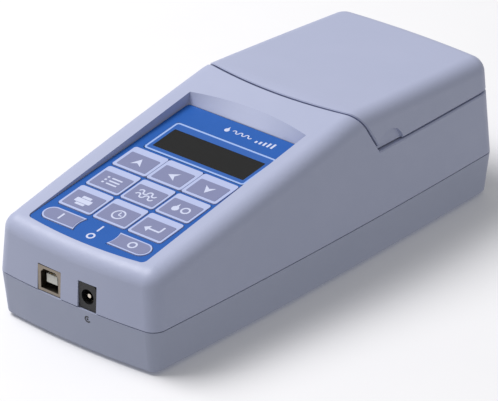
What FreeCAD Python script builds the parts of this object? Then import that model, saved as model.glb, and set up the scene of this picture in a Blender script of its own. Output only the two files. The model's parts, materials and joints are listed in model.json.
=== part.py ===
import FreeCAD, Part
import math
import os

os.makedirs("parts", exist_ok=True)

# ---------------------------------------------------------------------------
# Driving sizes, in millimetres.  The frame is +Z up, +X to the right of
# someone facing the front, +Y towards the back.  Z = 0 is the table.
# ---------------------------------------------------------------------------

# Case envelope
case_length = 214.6
case_width = 87.2
front_bow = 2.8
rear_bow = 2.6
side_bow = 2.2
corner_radius = 6.0
corner_growth = 0.05
feet_height = 1.5
parting_above_base = 18.3
base_inset = 2.0
upper_draft_deg = 3.0
nose_height = 41.4
ridge_height = 65.5
ridge_distance = 124.0
rear_height = 60.6
ridge_blend_radius = 30.0
top_edge_radius = 7.0
base_edge_radius = 0.8
wall = 2.5
parting_groove = 0.4

# Lid seam
seam_above_base = 46.4
seam_gap = 0.8
seam_ridge_distance = 120.4
seam_bow = 4.4
seam_slope_deg = 58.3
seam_edge_break = 0.5
deck_drop = 2.9
deck_thickness = 2.2
finger_notch_radius = 8.4
finger_notch_depth = 1.6
finger_notch_distance = 143.2
finger_notch_drop = 1.4
finger_notch_lean = 0.15

# Rear hinge of the lid
hinge_pin_radius = 1.25
hinge_knuckle_radius = 3.0
hinge_wall_clearance = 0.6
lid_knuckle_length = 34.0
case_knuckle_length = 10.0
moving_gap = 0.4
running_clearance = 0.05

# Sloping control panel
panel_width = 60.8
panel_front_distance = 6.6
panel_rear_distance = 103.2
panel_front_height = 41.45
panel_angle_deg = 8.4
panel_front_bow = 2.2
panel_front_corner_radius = 2.4
panel_rear_corner_radius = 1.5
scoop_height = 5.0
scoop_middle_lean = 5.6
scoop_end_lean = 1.8
overlay_thickness = 0.6
overlay_edge_gap = 0.3
spacer_thickness = 1.0
circuit_thickness = 0.4
panel_floor_thickness = 2.2

# Keys
key_pitch_x = 18.2
key_pitch_v = 16.0
key_width = 17.0
key_length = 14.6
key_corner_radius = 1.2
key_rise = 0.35
key_travel = 0.3
key_gap = 0.3
arrow_row_distance = 60.8
power_row_distance = 15.4
power_key_half_span = 27.4
power_key_height = 8.2
power_dial_radius = 9.4
dome_radius = 3.0
dome_height = 0.25

# Display
window_length = 52.4
window_depth = 21.3
window_offset_x = 1.3
window_distance = 80.1
window_corner_radius = 1.0
display_view_length = 49.0
display_view_depth = 16.4
display_glass_margin = 1.2
display_glass_thickness = 1.9
display_board_length = 68.0
display_board_depth = 30.0
display_bezel_rim = 1.4
display_bezel_depth = 3.0
display_screw_offset_x = 31.2
display_screw_span = 12.0
display_fit = 0.05

# Sockets on the front face
usb_offset_x = -11.8
usb_width = 12.0
usb_height = 11.0
usb_depth = 16.0
usb_shell_thickness = 0.4
usb_mouth_width = 9.2
usb_mouth_height = 8.6
usb_mouth_chamfer = 1.6
usb_tongue_width = 5.6
usb_tongue_height = 3.6
usb_tongue_setback = 1.5
usb_insulator_length = 4.0
dc_offset_x = 8.2
dc_width = 9.0
dc_height = 11.0
dc_depth = 14.0
dc_mouth_radius = 3.15
dc_pin_radius = 0.85
dc_mouth_depth = 9.5
socket_setback = 0.8
socket_gap = 0.25
socket_clearance_below = 0.2

# Electronics
board_thickness = 1.6
connector_board_length = 42.0
connector_board_depth = 22.0
board_front_margin = 0.9
board_post_radius = 2.2
board_post_distance = 21.0
main_board_width = 58.0
main_board_front_distance = 20.0
main_board_rear_distance = 128.0
main_board_standoff = 4.0
main_screw_offset_x = 24.0
main_screw_margin = 6.0
main_screw_length = 5.0

# Batteries
cell_diameter = 14.5
cell_length = 50.5
cell_count = 4
cell_spacing = 0.5
bay_front_distance = 31.0
bay_length = 60.0
bay_wall = 1.8
door_ledge = 1.2
door_gap = 0.35
door_pin_radius = 0.8
door_pin_length = 2.0
door_grip_radius = 30.0
door_grip_width = 20.0
door_grip_length = 13.0
door_grip_depth = 1.2
door_grip_margin = 3.0

# Sample well and optics
well_distance = 168.0
vial_diameter = 24.0
vial_clearance = 0.4
well_floor = 1.5
well_collar_wall = 2.8
well_collar_rise = 1.2
block_half = 20.0
block_screw_span = 14.0
block_screw_reach = 5.0
block_flange_width = 9.0
block_flange_height = 4.0
block_flange_thickness = 3.0
block_screw_length = 6.5
beam_height = 20.0
beam_radius = 3.0
gasket_width = 4.0
gasket_height = 2.0
liner_thickness = 1.2

# Fasteners and feet
screw_radius = 1.45
screw_hole_clearance = 0.1
screw_head_radius = 2.8
screw_head_height = 2.2
screw_length = 12.0
boss_radius = 3.6
boss_offset_x = 33.5
boss_front_distance = 12.5
boss_middle_distance = 112.0
boss_rear_margin = 10.5
screw_grip = 7.0
small_screw_radius = 1.1
small_screw_head_radius = 2.1
small_screw_head_height = 1.4
foot_radius = 5.0
foot_recess = 1.0
foot_offset_x = 26.0
foot_front_distance = 19.5
foot_rear_margin = 19.0

# ---------------------------------------------------------------------------
# Values that follow from the sizes above
# ---------------------------------------------------------------------------

base_z = feet_height
parting_z = base_z + parting_above_base
seam_z = base_z + seam_above_base
draft = math.tan(math.radians(upper_draft_deg))
seam_slope = math.radians(seam_slope_deg)
panel_angle = math.radians(panel_angle_deg)
rear_face_inset = draft * (seam_z - parting_z)
hinge_reach = hinge_knuckle_radius + hinge_wall_clearance
hinge_overhang = hinge_reach + hinge_knuckle_radius - rear_face_inset
y_front = -(case_length + hinge_overhang) / 2
y_middle = y_front + case_length / 2
hinge_y = y_front + case_length - rear_face_inset + hinge_reach
hinge_z = seam_z
deck_z = seam_z - deck_drop
floor_top_z = base_z + wall
cell_pitch = cell_diameter + cell_spacing
panel_stack = overlay_thickness + spacer_thickness + circuit_thickness
socket_z = parting_z + socket_clearance_below
far = 400.0


# ---------------------------------------------------------------------------
# Small helpers
# ---------------------------------------------------------------------------

def at(x, y, z):
    return FreeCAD.Vector(x, y, z)


def back(distance):
    """Y of a point at this distance behind the middle of the front face."""
    return y_front + distance


def block(x0, x1, y0, y1, z0, z1):
    return Part.makeBox(x1 - x0, y1 - y0, z1 - z0, at(x0, y0, z0))


def rod(radius, length, start, axis=None):
    return Part.makeCylinder(radius, length, start, axis or at(0, 0, 1))


def joined(shapes):
    return shapes[0].fuse(shapes[1:]).removeSplitter()


def group(shapes):
    return Part.makeCompound(shapes)


def save(name, shape):
    shape.exportStep("parts/" + name + ".step")
    print(name, "solids", len(shape.Solids), "volume", round(shape.Volume, 1))


def arc_through(a, b, c):
    return Part.Arc(a, b, c).toShape()


def rounded_rectangle(x0, x1, y0, y1, z, radius):
    """A flat rectangle with its four corners rounded, as a face."""
    quarter = radius * (1 - math.sqrt(0.5))
    edges = []
    corners = [
        (at(x1 - radius, y0, z), at(x1 - quarter, y0 + quarter, z), at(x1, y0 + radius, z)),
        (at(x1, y1 - radius, z), at(x1 - quarter, y1 - quarter, z), at(x1 - radius, y1, z)),
        (at(x0 + radius, y1, z), at(x0 + quarter, y1 - quarter, z), at(x0, y1 - radius, z)),
        (at(x0, y0 + radius, z), at(x0 + quarter, y0 + quarter, z), at(x0 + radius, y0, z)),
    ]
    previous_end = corners[-1][2]
    for start, middle, end in corners:
        edges.append(Part.makeLine(previous_end, start))
        edges.append(arc_through(start, middle, end))
        previous_end = end
    return Part.Face(Part.Wire(edges))


def rounded_plate(x0, x1, y0, y1, z0, z1, radius):
    return rounded_rectangle(x0, x1, y0, y1, z0, radius).extrude(at(0, 0, z1 - z0))


# ---------------------------------------------------------------------------
# Outer envelope: bowed plan, drafted walls, sloping top
# ---------------------------------------------------------------------------

def sagitta_radius(half_chord, sagitta):
    return (half_chord ** 2 + sagitta ** 2) / (2 * sagitta)


def circles_meet(c1, r1, c2, r2, near):
    """The crossing of two circles that lies nearest to a given point."""
    gap = c2 - c1
    span = gap.Length
    along = (r1 ** 2 - r2 ** 2 + span ** 2) / (2 * span)
    height = math.sqrt(r1 ** 2 - along ** 2)
    unit = gap * (1 / span)
    normal = at(-unit.y, unit.x, 0)
    foot = c1 + unit * along
    candidates = [foot + normal * height, foot - normal * height]
    return min(candidates, key=lambda p: (p - near).Length)


def plan_wire(inset, z):
    """The case outline at one height, moved inwards by inset.

    Above the parting line the corners open out a little with height, so that
    the rounding of the top rim always fits round them.
    """
    half_x = case_width / 2
    half_y = case_length / 2
    front_r = sagitta_radius(half_x, front_bow)
    rear_r = sagitta_radius(half_x, rear_bow)
    side_r = sagitta_radius(half_y, side_bow)
    rise = max(z - parting_z, 0)
    radius = max(corner_radius - inset + (corner_growth + draft) * rise, 1.0)
    front_c = at(0, y_middle - half_y + front_r, 0)
    rear_c = at(0, y_middle + half_y - rear_r, 0)
    sides = {1: at(half_x - side_r, y_middle, 0), -1: at(side_r - half_x, y_middle, 0)}
    touches = {}
    for end, end_c, end_r in ((-1, front_c, front_r), (1, rear_c, rear_r)):
        for side, side_c in sides.items():
            near = at(side * (half_x - radius), y_middle + end * (half_y - radius), 0)
            centre = circles_meet(end_c, end_r - inset - radius, side_c, side_r - inset - radius, near)
            on_end = end_c + (centre - end_c).normalize() * (end_r - inset)
            on_side = side_c + (centre - side_c).normalize() * (side_r - inset)
            bulge = (on_end - centre) + (on_side - centre)
            on_corner = centre + bulge.normalize() * radius
            touches[(end, side)] = (on_end, on_corner, on_side)
    up = at(0, 0, z)
    front_mid = at(0, y_middle - half_y + inset, 0)
    rear_mid = at(0, y_middle + half_y - inset, 0)
    right_mid = at(half_x - inset, y_middle, 0)
    left_mid = at(inset - half_x, y_middle, 0)
    fl = touches[(-1, -1)]
    fr = touches[(-1, 1)]
    rr = touches[(1, 1)]
    rl = touches[(1, -1)]
    runs = [
        (fl[0], front_mid, fr[0]),
        (fr[0], fr[1], fr[2]),
        (fr[2], right_mid, rr[2]),
        (rr[2], rr[1], rr[0]),
        (rr[0], rear_mid, rl[0]),
        (rl[0], rl[1], rl[2]),
        (rl[2], left_mid, fl[2]),
        (fl[2], fl[1], fl[0]),
    ]
    return Part.Wire([arc_through(a + up, b + up, c + up) for a, b, c in runs])


def drafted(inset_low, z_low, inset_high, z_high):
    return Part.makeLoft([plan_wire(inset_low, z_low), plan_wire(inset_high, z_high)], True, True)


def top_profile(inset):
    """Side view of the top: slope, blended ridge, falling lid top."""
    slope = math.atan2(ridge_height - nose_height, ridge_distance)
    fall = math.atan2(ridge_height - rear_height, case_length - ridge_distance)
    ridge_y = back(ridge_distance)
    ridge_z = base_z + ridge_height - inset / math.cos((slope + fall) / 2)
    radius = ridge_blend_radius - inset
    tangent = radius * math.tan((slope + fall) / 2)
    reach = case_length
    start = at(0, ridge_y - reach * math.cos(slope), ridge_z - reach * math.sin(slope))
    blend_in = at(0, ridge_y - tangent * math.cos(slope), ridge_z - tangent * math.sin(slope))
    blend_out = at(0, ridge_y + tangent * math.cos(fall), ridge_z - tangent * math.sin(fall))
    centre = blend_in + at(0, math.sin(slope), -math.cos(slope)) * radius
    blend_mid = centre + (at(0, ridge_y, ridge_z) - centre).normalize() * radius
    end = at(0, ridge_y + reach * math.cos(fall), ridge_z - reach * math.sin(fall))
    low = parting_z - wall
    corner_back = at(0, end.y, low)
    corner_front = at(0, start.y, low)
    edges = [
        Part.makeLine(start, blend_in),
        arc_through(blend_in, blend_mid, blend_out),
        Part.makeLine(blend_out, end),
        Part.makeLine(end, corner_back),
        Part.makeLine(corner_back, corner_front),
        Part.makeLine(corner_front, start),
    ]
    face = Part.Face(Part.Wire(edges))
    face.translate(at(-case_width, 0, 0))
    return face.extrude(at(2 * case_width, 0, 0))


def runs_along_x(edge):
    ends = edge.Vertexes
    if len(ends) < 2:
        return False
    step = ends[1].Point - ends[0].Point
    return abs(step.y) < 0.01 and abs(step.z) < 0.01


def upper_body(inset):
    """Everything above the parting line, its top edges rounded."""
    high = base_z + ridge_height + 2 * wall
    inset_high = inset + draft * (high - parting_z)
    walls = drafted(inset, parting_z, inset_high, high)
    solid = walls.common(top_profile(inset))
    lowest_rim = base_z + nose_height - inset - 2
    rim = []
    for edge in solid.Edges:
        if edge.CenterOfMass.z > lowest_rim and not runs_along_x(edge):
            rim.append(edge)
    return solid.makeFillet(top_edge_radius - inset, rim)


def lower_body(inset, bottom_z):
    slope = base_inset / parting_above_base
    inset_low = inset + slope * (parting_z - bottom_z)
    return drafted(inset_low, bottom_z, inset, parting_z)


def lid_region(shift, low_z=None):
    """Space claimed by the lid, grown towards the case by shift, down to low_z."""
    if low_z is None:
        low_z = seam_z - shift
    half = case_width
    z_top = base_z + ridge_height
    y_mid = back(seam_ridge_distance) - shift / math.sin(seam_slope)
    radius = sagitta_radius(case_width / 2 - wall, seam_bow)
    y_side = y_mid + radius - math.sqrt(radius ** 2 - half ** 2)
    rise = 2 * wall
    lean = rise / math.tan(seam_slope)
    start = at(-half, y_side - lean, z_top + rise)
    end = at(half, y_side - lean, z_top + rise)
    middle = at(0, y_mid - lean, z_top + rise)
    edges = [
        arc_through(start, middle, end),
        Part.makeLine(end, at(half, y_side + far, z_top + rise)),
        Part.makeLine(at(half, y_side + far, z_top + rise), at(-half, y_side + far, z_top + rise)),
        Part.makeLine(at(-half, y_side + far, z_top + rise), start),
    ]
    drop = z_top + rise - low_z
    direction = at(0, drop / math.tan(seam_slope), -drop)
    return Part.Face(Part.Wire(edges)).extrude(direction)


def break_seam(solid, ledge_z):
    """Chamfer the outside edges of the level and the sloping seam faces."""
    level = [f for f in solid.Faces if abs(f.CenterOfMass.z - ledge_z) < 0.01 and f.BoundBox.ZLength < 0.01]
    level_edges = [e for f in level for e in f.Edges]
    shared = [e for e in level_edges if runs_along_x(e) and e.CenterOfMass.y < back(case_length * 0.8)]
    slanted = []
    for face in solid.Faces:
        touches = any(edge.isSame(e) for edge in face.Edges for e in shared)
        if touches and face.BoundBox.ZLength > 1:
            slanted.append(face)
    picked = []
    for edge in level_edges + [e for f in slanted for e in f.Edges]:
        if not any(edge.isSame(e) for e in shared + picked):
            picked.append(edge)
    return solid.makeChamfer(seam_edge_break, picked)


# ---------------------------------------------------------------------------
# Control panel frame: X across, V up the slope from the front face, W out
# ---------------------------------------------------------------------------

def on_panel(shape):
    placed = shape.copy()
    placed.rotate(at(0, 0, 0), at(1, 0, 0), panel_angle_deg)
    placed.translate(at(0, y_front, base_z + panel_front_height))
    return placed


def up_slope(distance):
    """V on the panel of a point at this distance behind the front face."""
    return distance / math.cos(panel_angle)


def panel_face(gap, w):
    """The panel outline shrunk by gap, with a bowed front edge."""
    half = panel_width / 2 - gap
    v_front = up_slope(panel_front_distance) + gap
    v_rear = up_slope(panel_rear_distance) - gap
    bow_r = sagitta_radius(panel_width / 2, panel_front_bow) - gap
    r = panel_front_corner_radius - gap
    bow_c = at(0, v_front + bow_r, w)
    reach = bow_r - r
    centre_x = half - r
    centre = at(centre_x, bow_c.y - math.sqrt(reach ** 2 - centre_x ** 2), w)
    on_bow = bow_c + (centre - bow_c).normalize() * bow_r
    on_side = centre + at(r, 0, 0)
    on_corner = centre + ((on_bow - centre) + (on_side - centre)).normalize() * r
    q = panel_rear_corner_radius
    q_mid = q * (1 - math.sqrt(0.5))

    def mirror(p):
        return at(-p.x, p.y, p.z)

    rear_side = at(half, v_rear - q, w)
    rear_mid = at(half - q_mid, v_rear - q_mid, w)
    rear_end = at(half - q, v_rear, w)
    edges = [
        arc_through(mirror(on_bow), at(0, v_front, w), on_bow),
        arc_through(on_bow, on_corner, on_side),
        Part.makeLine(on_side, rear_side),
        arc_through(rear_side, rear_mid, rear_end),
        Part.makeLine(rear_end, mirror(rear_end)),
        arc_through(mirror(rear_end), mirror(rear_mid), mirror(rear_side)),
        Part.makeLine(mirror(rear_side), mirror(on_side)),
        arc_through(mirror(on_side), mirror(on_corner), mirror(on_bow)),
    ]
    return Part.Face(Part.Wire(edges))


def panel_plate(gap, w0, w1):
    return panel_face(gap, w0).extrude(at(0, 0, w1 - w0))


def scoop(grow):
    """The leaning back wall of the panel recess: straight below, bowed above.

    With grow at zero this is the space cut out of the case; with grow set to
    the wall thickness it is the space the hollow inside has to stay clear of.
    """
    half = panel_width / 2 + grow
    v_low = up_slope(panel_rear_distance) + 1.5 * grow
    v_near = v_low - 4 * wall
    rise = 2 * scoop_height
    v_end = v_low + 2 * scoop_end_lean
    v_middle = v_low + 2 * scoop_middle_lean
    low_edges = [
        Part.makeLine(at(-half, v_near, 0), at(half, v_near, 0)),
        Part.makeLine(at(half, v_near, 0), at(half, v_low, 0)),
        Part.makeLine(at(half, v_low, 0), at(-half, v_low, 0)),
        Part.makeLine(at(-half, v_low, 0), at(-half, v_near, 0)),
    ]
    high_edges = [
        Part.makeLine(at(-half, v_near, rise), at(half, v_near, rise)),
        Part.makeLine(at(half, v_near, rise), at(half, v_end, rise)),
        arc_through(at(half, v_end, rise), at(0, v_middle, rise), at(-half, v_end, rise)),
        Part.makeLine(at(-half, v_end, rise), at(-half, v_near, rise)),
    ]
    return Part.makeLoft([Part.Wire(low_edges), Part.Wire(high_edges)], True, True)


# ---------------------------------------------------------------------------
# Key shapes, in panel coordinates
# ---------------------------------------------------------------------------

key_low = -(overlay_thickness + spacer_thickness - dome_height - key_gap - key_travel)
arrow_v = up_slope(arrow_row_distance)
power_v = up_slope(power_row_distance)


def key_pad(column, row, gap, low, high):
    """A rectangular key; gap grows it into its clearance hole."""
    x = column * key_pitch_x
    v = arrow_v - row * key_pitch_v
    half_x = key_width / 2 + gap
    half_v = key_length / 2 + gap
    return rounded_plate(x - half_x, x + half_x, v - half_v, v + half_v, low, high, key_corner_radius + gap)


def arrow_pad(column, low, high):
    """Arrow keys fill one strip, so neighbours are only a key gap apart."""
    x = column * key_pitch_x
    half_x = (key_pitch_x - key_gap) / 2
    half_v = key_length / 2
    return rounded_plate(x - half_x, x + half_x, arrow_v - half_v, arrow_v + half_v, low, high,
                         key_corner_radius)


def arrow_strip(low, high):
    half_x = 1.5 * key_pitch_x + key_gap / 2
    half_v = key_length / 2 + key_gap
    radius = key_corner_radius + key_gap
    return rounded_plate(-half_x, half_x, arrow_v - half_v, arrow_v + half_v, low, high, radius)


def power_pad(side, gap, low, high):
    """On and off keys: pill ends outside, hollow ends round the dial inside."""
    half_v = power_key_height / 2 + gap
    outer = power_key_half_span + gap
    bar = block(0, outer - half_v, power_v - half_v, power_v + half_v, low, high)
    pill = bar.fuse(rod(half_v, high - low, at(outer - half_v, power_v, low)))
    dial = rod(power_dial_radius + key_gap - gap, high - low, at(0, power_v, low))
    pad = pill.cut(dial).removeSplitter()
    if side < 0:
        pad = pad.mirror(at(0, 0, 0), at(1, 0, 0))
    return pad


key_places = {
    "key_recall": (-1, 1),
    "key_mode": (0, 1),
    "key_zero_test": (1, 1),
    "key_print": (-1, 2),
    "key_clock": (0, 2),
    "key_enter": (1, 2),
}
arrow_places = {"key_arrow_up": -1, "key_arrow_left": 0, "key_arrow_down": 1}
power_places = {"key_on": -1, "key_off": 1}

key_openings = [arrow_strip(-panel_stack, 1)]
dome_spots = []
for column, row in key_places.values():
    key_openings.append(key_pad(column, row, key_gap, -panel_stack, 1))
    dome_spots.append((column * key_pitch_x, arrow_v - row * key_pitch_v))
for column in arrow_places.values():
    dome_spots.append((column * key_pitch_x, arrow_v))
for side in power_places.values():
    key_openings.append(power_pad(side, key_gap, -panel_stack, 1))
    dome_spots.append((side * (power_key_half_span + power_dial_radius) / 2, power_v))

window_v = up_slope(window_distance)
window_x0 = window_offset_x - window_length / 2
window_x1 = window_offset_x + window_length / 2
window_v0 = window_v - window_depth / 2
window_v1 = window_v + window_depth / 2


def window_plate(grow, low, high):
    radius = window_corner_radius + grow
    return rounded_plate(window_x0 - grow, window_x1 + grow, window_v0 - grow, window_v1 + grow,
                         low, high, radius)


def view_plate(grow, low, high):
    half_x = display_view_length / 2 + grow
    half_v = display_view_depth / 2 + grow
    return block(window_offset_x - half_x, window_offset_x + half_x, window_v - half_v, window_v + half_v,
                 low, high)


# ---------------------------------------------------------------------------
# Places shared by several pieces
# ---------------------------------------------------------------------------

boss_places = []
for distance in (boss_front_distance, boss_middle_distance, case_length - boss_rear_margin):
    for side in (-1, 1):
        boss_places.append((side * boss_offset_x, back(distance)))

foot_places = []
for distance in (foot_front_distance, case_length - foot_rear_margin):
    for side in (-1, 1):
        foot_places.append((side * foot_offset_x, back(distance)))

screw_seat_z = parting_z - screw_length + screw_grip
bay_half = cell_count * cell_pitch / 2 + 0.8
bay_y0 = back(bay_front_distance)
bay_y1 = bay_y0 + bay_length
door_top_z = base_z + wall
cell_axis_z = door_top_z + 0.4 + cell_diameter / 2
bay_roof_z = cell_axis_z + cell_diameter / 2 + 0.4
main_board_z = bay_roof_z + bay_wall + main_board_standoff
well_y = back(well_distance)
well_radius = vial_diameter / 2 + vial_clearance
well_bottom_z = floor_top_z + well_floor
collar_radius = well_radius + well_collar_wall

main_screw_places = []
for y in (bay_y0 + main_screw_margin, bay_y1 - main_screw_margin):
    for side in (-1, 1):
        main_screw_places.append((side * main_screw_offset_x, y))

block_screw_places = []
for y in (well_y - block_screw_span, well_y + block_screw_span):
    for side in (-1, 1):
        block_screw_places.append((side * (block_half + block_screw_reach), y))

display_screw_places = []
for v in (window_v - display_screw_span, window_v + display_screw_span):
    for side in (-1, 1):
        display_screw_places.append((side * display_screw_offset_x, v))

# ---------------------------------------------------------------------------
# Case
# ---------------------------------------------------------------------------

outer_upper = upper_body(0)
inner_upper = upper_body(wall)

# Lower case: tray, register lip, screw bosses, battery bay, feet recesses
outer_lower = lower_body(0, base_z)
base_rim = [e for e in outer_lower.Edges if abs(e.CenterOfMass.z - base_z) < 0.01]
outer_lower = outer_lower.makeFillet(base_edge_radius, base_rim)
tray = outer_lower.cut(lower_body(wall, floor_top_z))
tray = tray.cut(block(-far, far, -far, far, parting_z - parting_groove / 2, parting_z + far))
lip_height = 2.2
lip_wall = 1.2
lip_gap_to_wall = 0.15
lip_low = parting_z - 4
lip_base = lower_body(wall - 0.1, lip_low).cut(lower_body(wall + lip_wall, lip_low))
lip_outside = wall + lip_gap_to_wall
lip_top = drafted(lip_outside, parting_z, lip_outside, parting_z + lip_height)
lip_top = lip_top.cut(drafted(wall + lip_wall, parting_z, wall + lip_wall, parting_z + lip_height))
lip_parts = [tray, lip_base, lip_top]
tray = joined(lip_parts)
lip_gap = block(usb_offset_x - usb_width, dc_offset_x + dc_width, back(-1), back(8),
                parting_z - parting_groove / 2 - 4, parting_z + far)
inside_front = lower_body(wall, base_z).fuse(drafted(wall, parting_z, wall, parting_z + far))
tray = tray.cut(lip_gap.common(inside_front))

solids = [tray]
for x, y in boss_places:
    solids.append(rod(boss_radius, parting_z - floor_top_z + 0.5, at(x, y, floor_top_z - 0.5)))
bay_outer = block(-bay_half - bay_wall, bay_half + bay_wall, bay_y0 - bay_wall, bay_y1 + bay_wall,
                  floor_top_z - 0.5, bay_roof_z + bay_wall)
solids.append(bay_outer)
for x, y in main_screw_places:
    solids.append(rod(small_screw_head_radius, main_board_z - bay_roof_z, at(x, y, bay_roof_z)))
for x, y in block_screw_places:
    solids.append(rod(screw_head_radius + 0.4, block_flange_height + 0.5, at(x, y, floor_top_z - 0.5)))
for x in (usb_offset_x - 8, dc_offset_x + 8):
    post_height = socket_z - board_thickness - floor_top_z + 0.5
    solids.append(rod(board_post_radius, post_height, at(x, back(board_post_distance), floor_top_z - 0.5)))
lower_case = joined(solids)
cuts = []
for x, y in boss_places:
    cuts.append(rod(screw_radius + screw_hole_clearance, far, at(x, y, base_z - 1)))
    cuts.append(rod(screw_head_radius + 0.3, screw_seat_z - base_z + 1, at(x, y, base_z - 1)))
for x, y in foot_places:
    cuts.append(rod(foot_radius + 0.05, foot_recess + 1, at(x, y, base_z - 1)))
cuts.append(block(-bay_half, bay_half, bay_y0, bay_y1, base_z - 1, bay_roof_z))
door_x = bay_half + door_ledge
door_y0 = bay_y0 - door_ledge
door_y1 = bay_y1 + door_ledge
cuts.append(block(-door_x - door_gap, door_x + door_gap, door_y0 - door_gap, door_y1 + door_gap,
                  base_z - 1, door_top_z + door_gap))
door_axis_y = door_y0 + wall / 2
door_axis_z = base_z + wall / 2
pin_reach = door_x + door_gap + door_pin_length
cuts.append(rod(door_pin_radius + running_clearance, 2 * pin_reach, at(-pin_reach, door_axis_y, door_axis_z),
                at(1, 0, 0)))
for x, y in main_screw_places:
    cuts.append(rod(small_screw_radius + screw_hole_clearance, far, at(x, y, bay_roof_z + bay_wall * 0.4)))
for x, y in block_screw_places:
    cuts.append(rod(small_screw_radius + screw_hole_clearance, far, at(x, y, floor_top_z)))
lower_case = lower_case.cut(cuts)

# Upper case: shell, panel recess, deck under the lid, hinge knuckles
case_shell = break_seam(outer_upper.cut(lid_region(seam_gap / 2)), seam_z - seam_gap / 2)
hollow = inner_upper.cut(lid_region(wall + seam_gap / 2))
backing = panel_plate(-wall, -panel_stack - panel_floor_thickness, far)
hollow = hollow.cut([on_panel(backing), on_panel(scoop(wall))])
hollow = hollow.cut(lid_region(wall + seam_gap, deck_z - deck_thickness))
hollow = hollow.fuse(drafted(wall, parting_z - 1, wall, parting_z + 0.01))
shell = case_shell.cut(hollow)
inside = outer_upper.common(upper_body(wall / 2).fuse(drafted(wall / 2, parting_z, wall / 2, parting_z + 5)))
inside = inside.cut(lid_region(wall, deck_z - deck_thickness / 2))
solids = [shell]
for x, y in boss_places:
    solids.append(rod(boss_radius, far, at(x, y, parting_z)).common(inside))
for x, v in display_screw_places:
    post = rod(small_screw_head_radius, 4.0, at(x, v, -panel_stack - panel_floor_thickness - 3.0))
    solids.append(on_panel(post))
knuckle_start = lid_knuckle_length / 2 + moving_gap
wall_inner_y = back(case_length) - rear_face_inset - wall / 2
for side in (-1, 1):
    x0 = knuckle_start if side > 0 else -knuckle_start - case_knuckle_length
    x1 = x0 + case_knuckle_length
    knuckle = rod(hinge_knuckle_radius, case_knuckle_length, at(x0, hinge_y, hinge_z), at(1, 0, 0))
    arm = block(x0, x1, wall_inner_y - 1, hinge_y, hinge_z - hinge_knuckle_radius, hinge_z - seam_gap / 2)
    solids.append(knuckle.fuse(arm))
upper_case = joined(solids)
deck_well = inner_upper.common(lid_region(-1, deck_z))
recess = panel_plate(0, -panel_stack, far)
cuts = [deck_well, on_panel(recess), on_panel(scoop(0))]
cuts.append(on_panel(view_plate(0, -far / 10, 0)))
cuts.append(block(-far, far, -far, far, parting_z - 1, parting_z + parting_groove / 2))
cuts.append(block(usb_offset_x - usb_width / 2 - socket_gap, usb_offset_x + usb_width / 2 + socket_gap,
                  back(-5), back(10), parting_z - 1, socket_z + usb_height + socket_gap))
cuts.append(block(dc_offset_x - dc_width / 2 - socket_gap, dc_offset_x + dc_width / 2 + socket_gap,
                  back(-5), back(10), parting_z - 1, socket_z + dc_height + socket_gap))
cuts.append(rod(collar_radius + moving_gap, 20, at(0, well_y, deck_z - 10)))
for x, y in boss_places:
    cuts.append(rod(screw_radius + screw_hole_clearance, screw_length, at(x, y, parting_z - 1)))
for x, v in display_screw_places:
    hole = rod(small_screw_radius + screw_hole_clearance, 4.5,
               at(x, v, -panel_stack - panel_floor_thickness - 4.0))
    cuts.append(on_panel(hole))
pin_x = knuckle_start + case_knuckle_length
cuts.append(rod(hinge_pin_radius + 0.01, 2 * pin_x, at(-pin_x, hinge_y, hinge_z), at(1, 0, 0)))
upper_case = upper_case.cut(cuts)
save("lower_case", lower_case)
save("upper_case", upper_case)

# ---------------------------------------------------------------------------
# Lid
# ---------------------------------------------------------------------------

lid_outer = break_seam(outer_upper.common(lid_region(-seam_gap / 2)), seam_z + seam_gap / 2)
lid_hollow = inner_upper.common(lid_region(-wall - seam_gap / 2, seam_z - wall))
lid = lid_outer.cut(lid_hollow)
knuckle = rod(hinge_knuckle_radius, lid_knuckle_length, at(-lid_knuckle_length / 2, hinge_y, hinge_z),
              at(1, 0, 0))
arm = block(-lid_knuckle_length / 2, lid_knuckle_length / 2, wall_inner_y - 1, hinge_y,
            hinge_z + seam_gap / 2, hinge_z + hinge_knuckle_radius)
lid = joined([lid, knuckle, arm])
cuts = [rod(hinge_pin_radius + running_clearance, far, at(-far / 2, hinge_y, hinge_z), at(1, 0, 0))]
notch_y = back(finger_notch_distance)
notch_surface = case_width / 2 - side_bow * ((notch_y - y_middle) / (case_length / 2)) ** 2
notch_surface = notch_surface - draft * (seam_z - parting_z)
notch_spread = finger_notch_lean * finger_notch_depth
for side in (-1, 1):
    cone = Part.makeCone(finger_notch_radius - notch_spread, finger_notch_radius + notch_spread,
                         2 * finger_notch_depth,
                         at(notch_surface - finger_notch_depth, notch_y, seam_z - finger_notch_drop),
                         at(1, 0, 0))
    if side < 0:
        cone = cone.mirror(at(0, 0, 0), at(1, 0, 0))
    cuts.append(cone)
lid = lid.cut(cuts)
save("lid_shell", lid)

liner_fit = 0.05
liner_out = upper_body(wall + liner_fit)
liner_in = upper_body(wall + liner_fit + liner_thickness)
liner_low = block(-far, far, -far, far, seam_z + 1.5, far)
liner_shift = -wall - seam_gap / 2 - liner_fit
cover = liner_out.common(lid_region(liner_shift, seam_z - wall)).common(liner_low)
space = liner_in.common(lid_region(liner_shift - liner_thickness, seam_z - wall))
save("lid_liner", cover.cut(space))

pin = rod(hinge_pin_radius, 2 * pin_x - 1, at(0.5 - pin_x, hinge_y, hinge_z), at(1, 0, 0))
save("hinge_pin", pin)

# ---------------------------------------------------------------------------
# Underside: battery door, cells, contacts, feet, case screws
# ---------------------------------------------------------------------------

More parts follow.
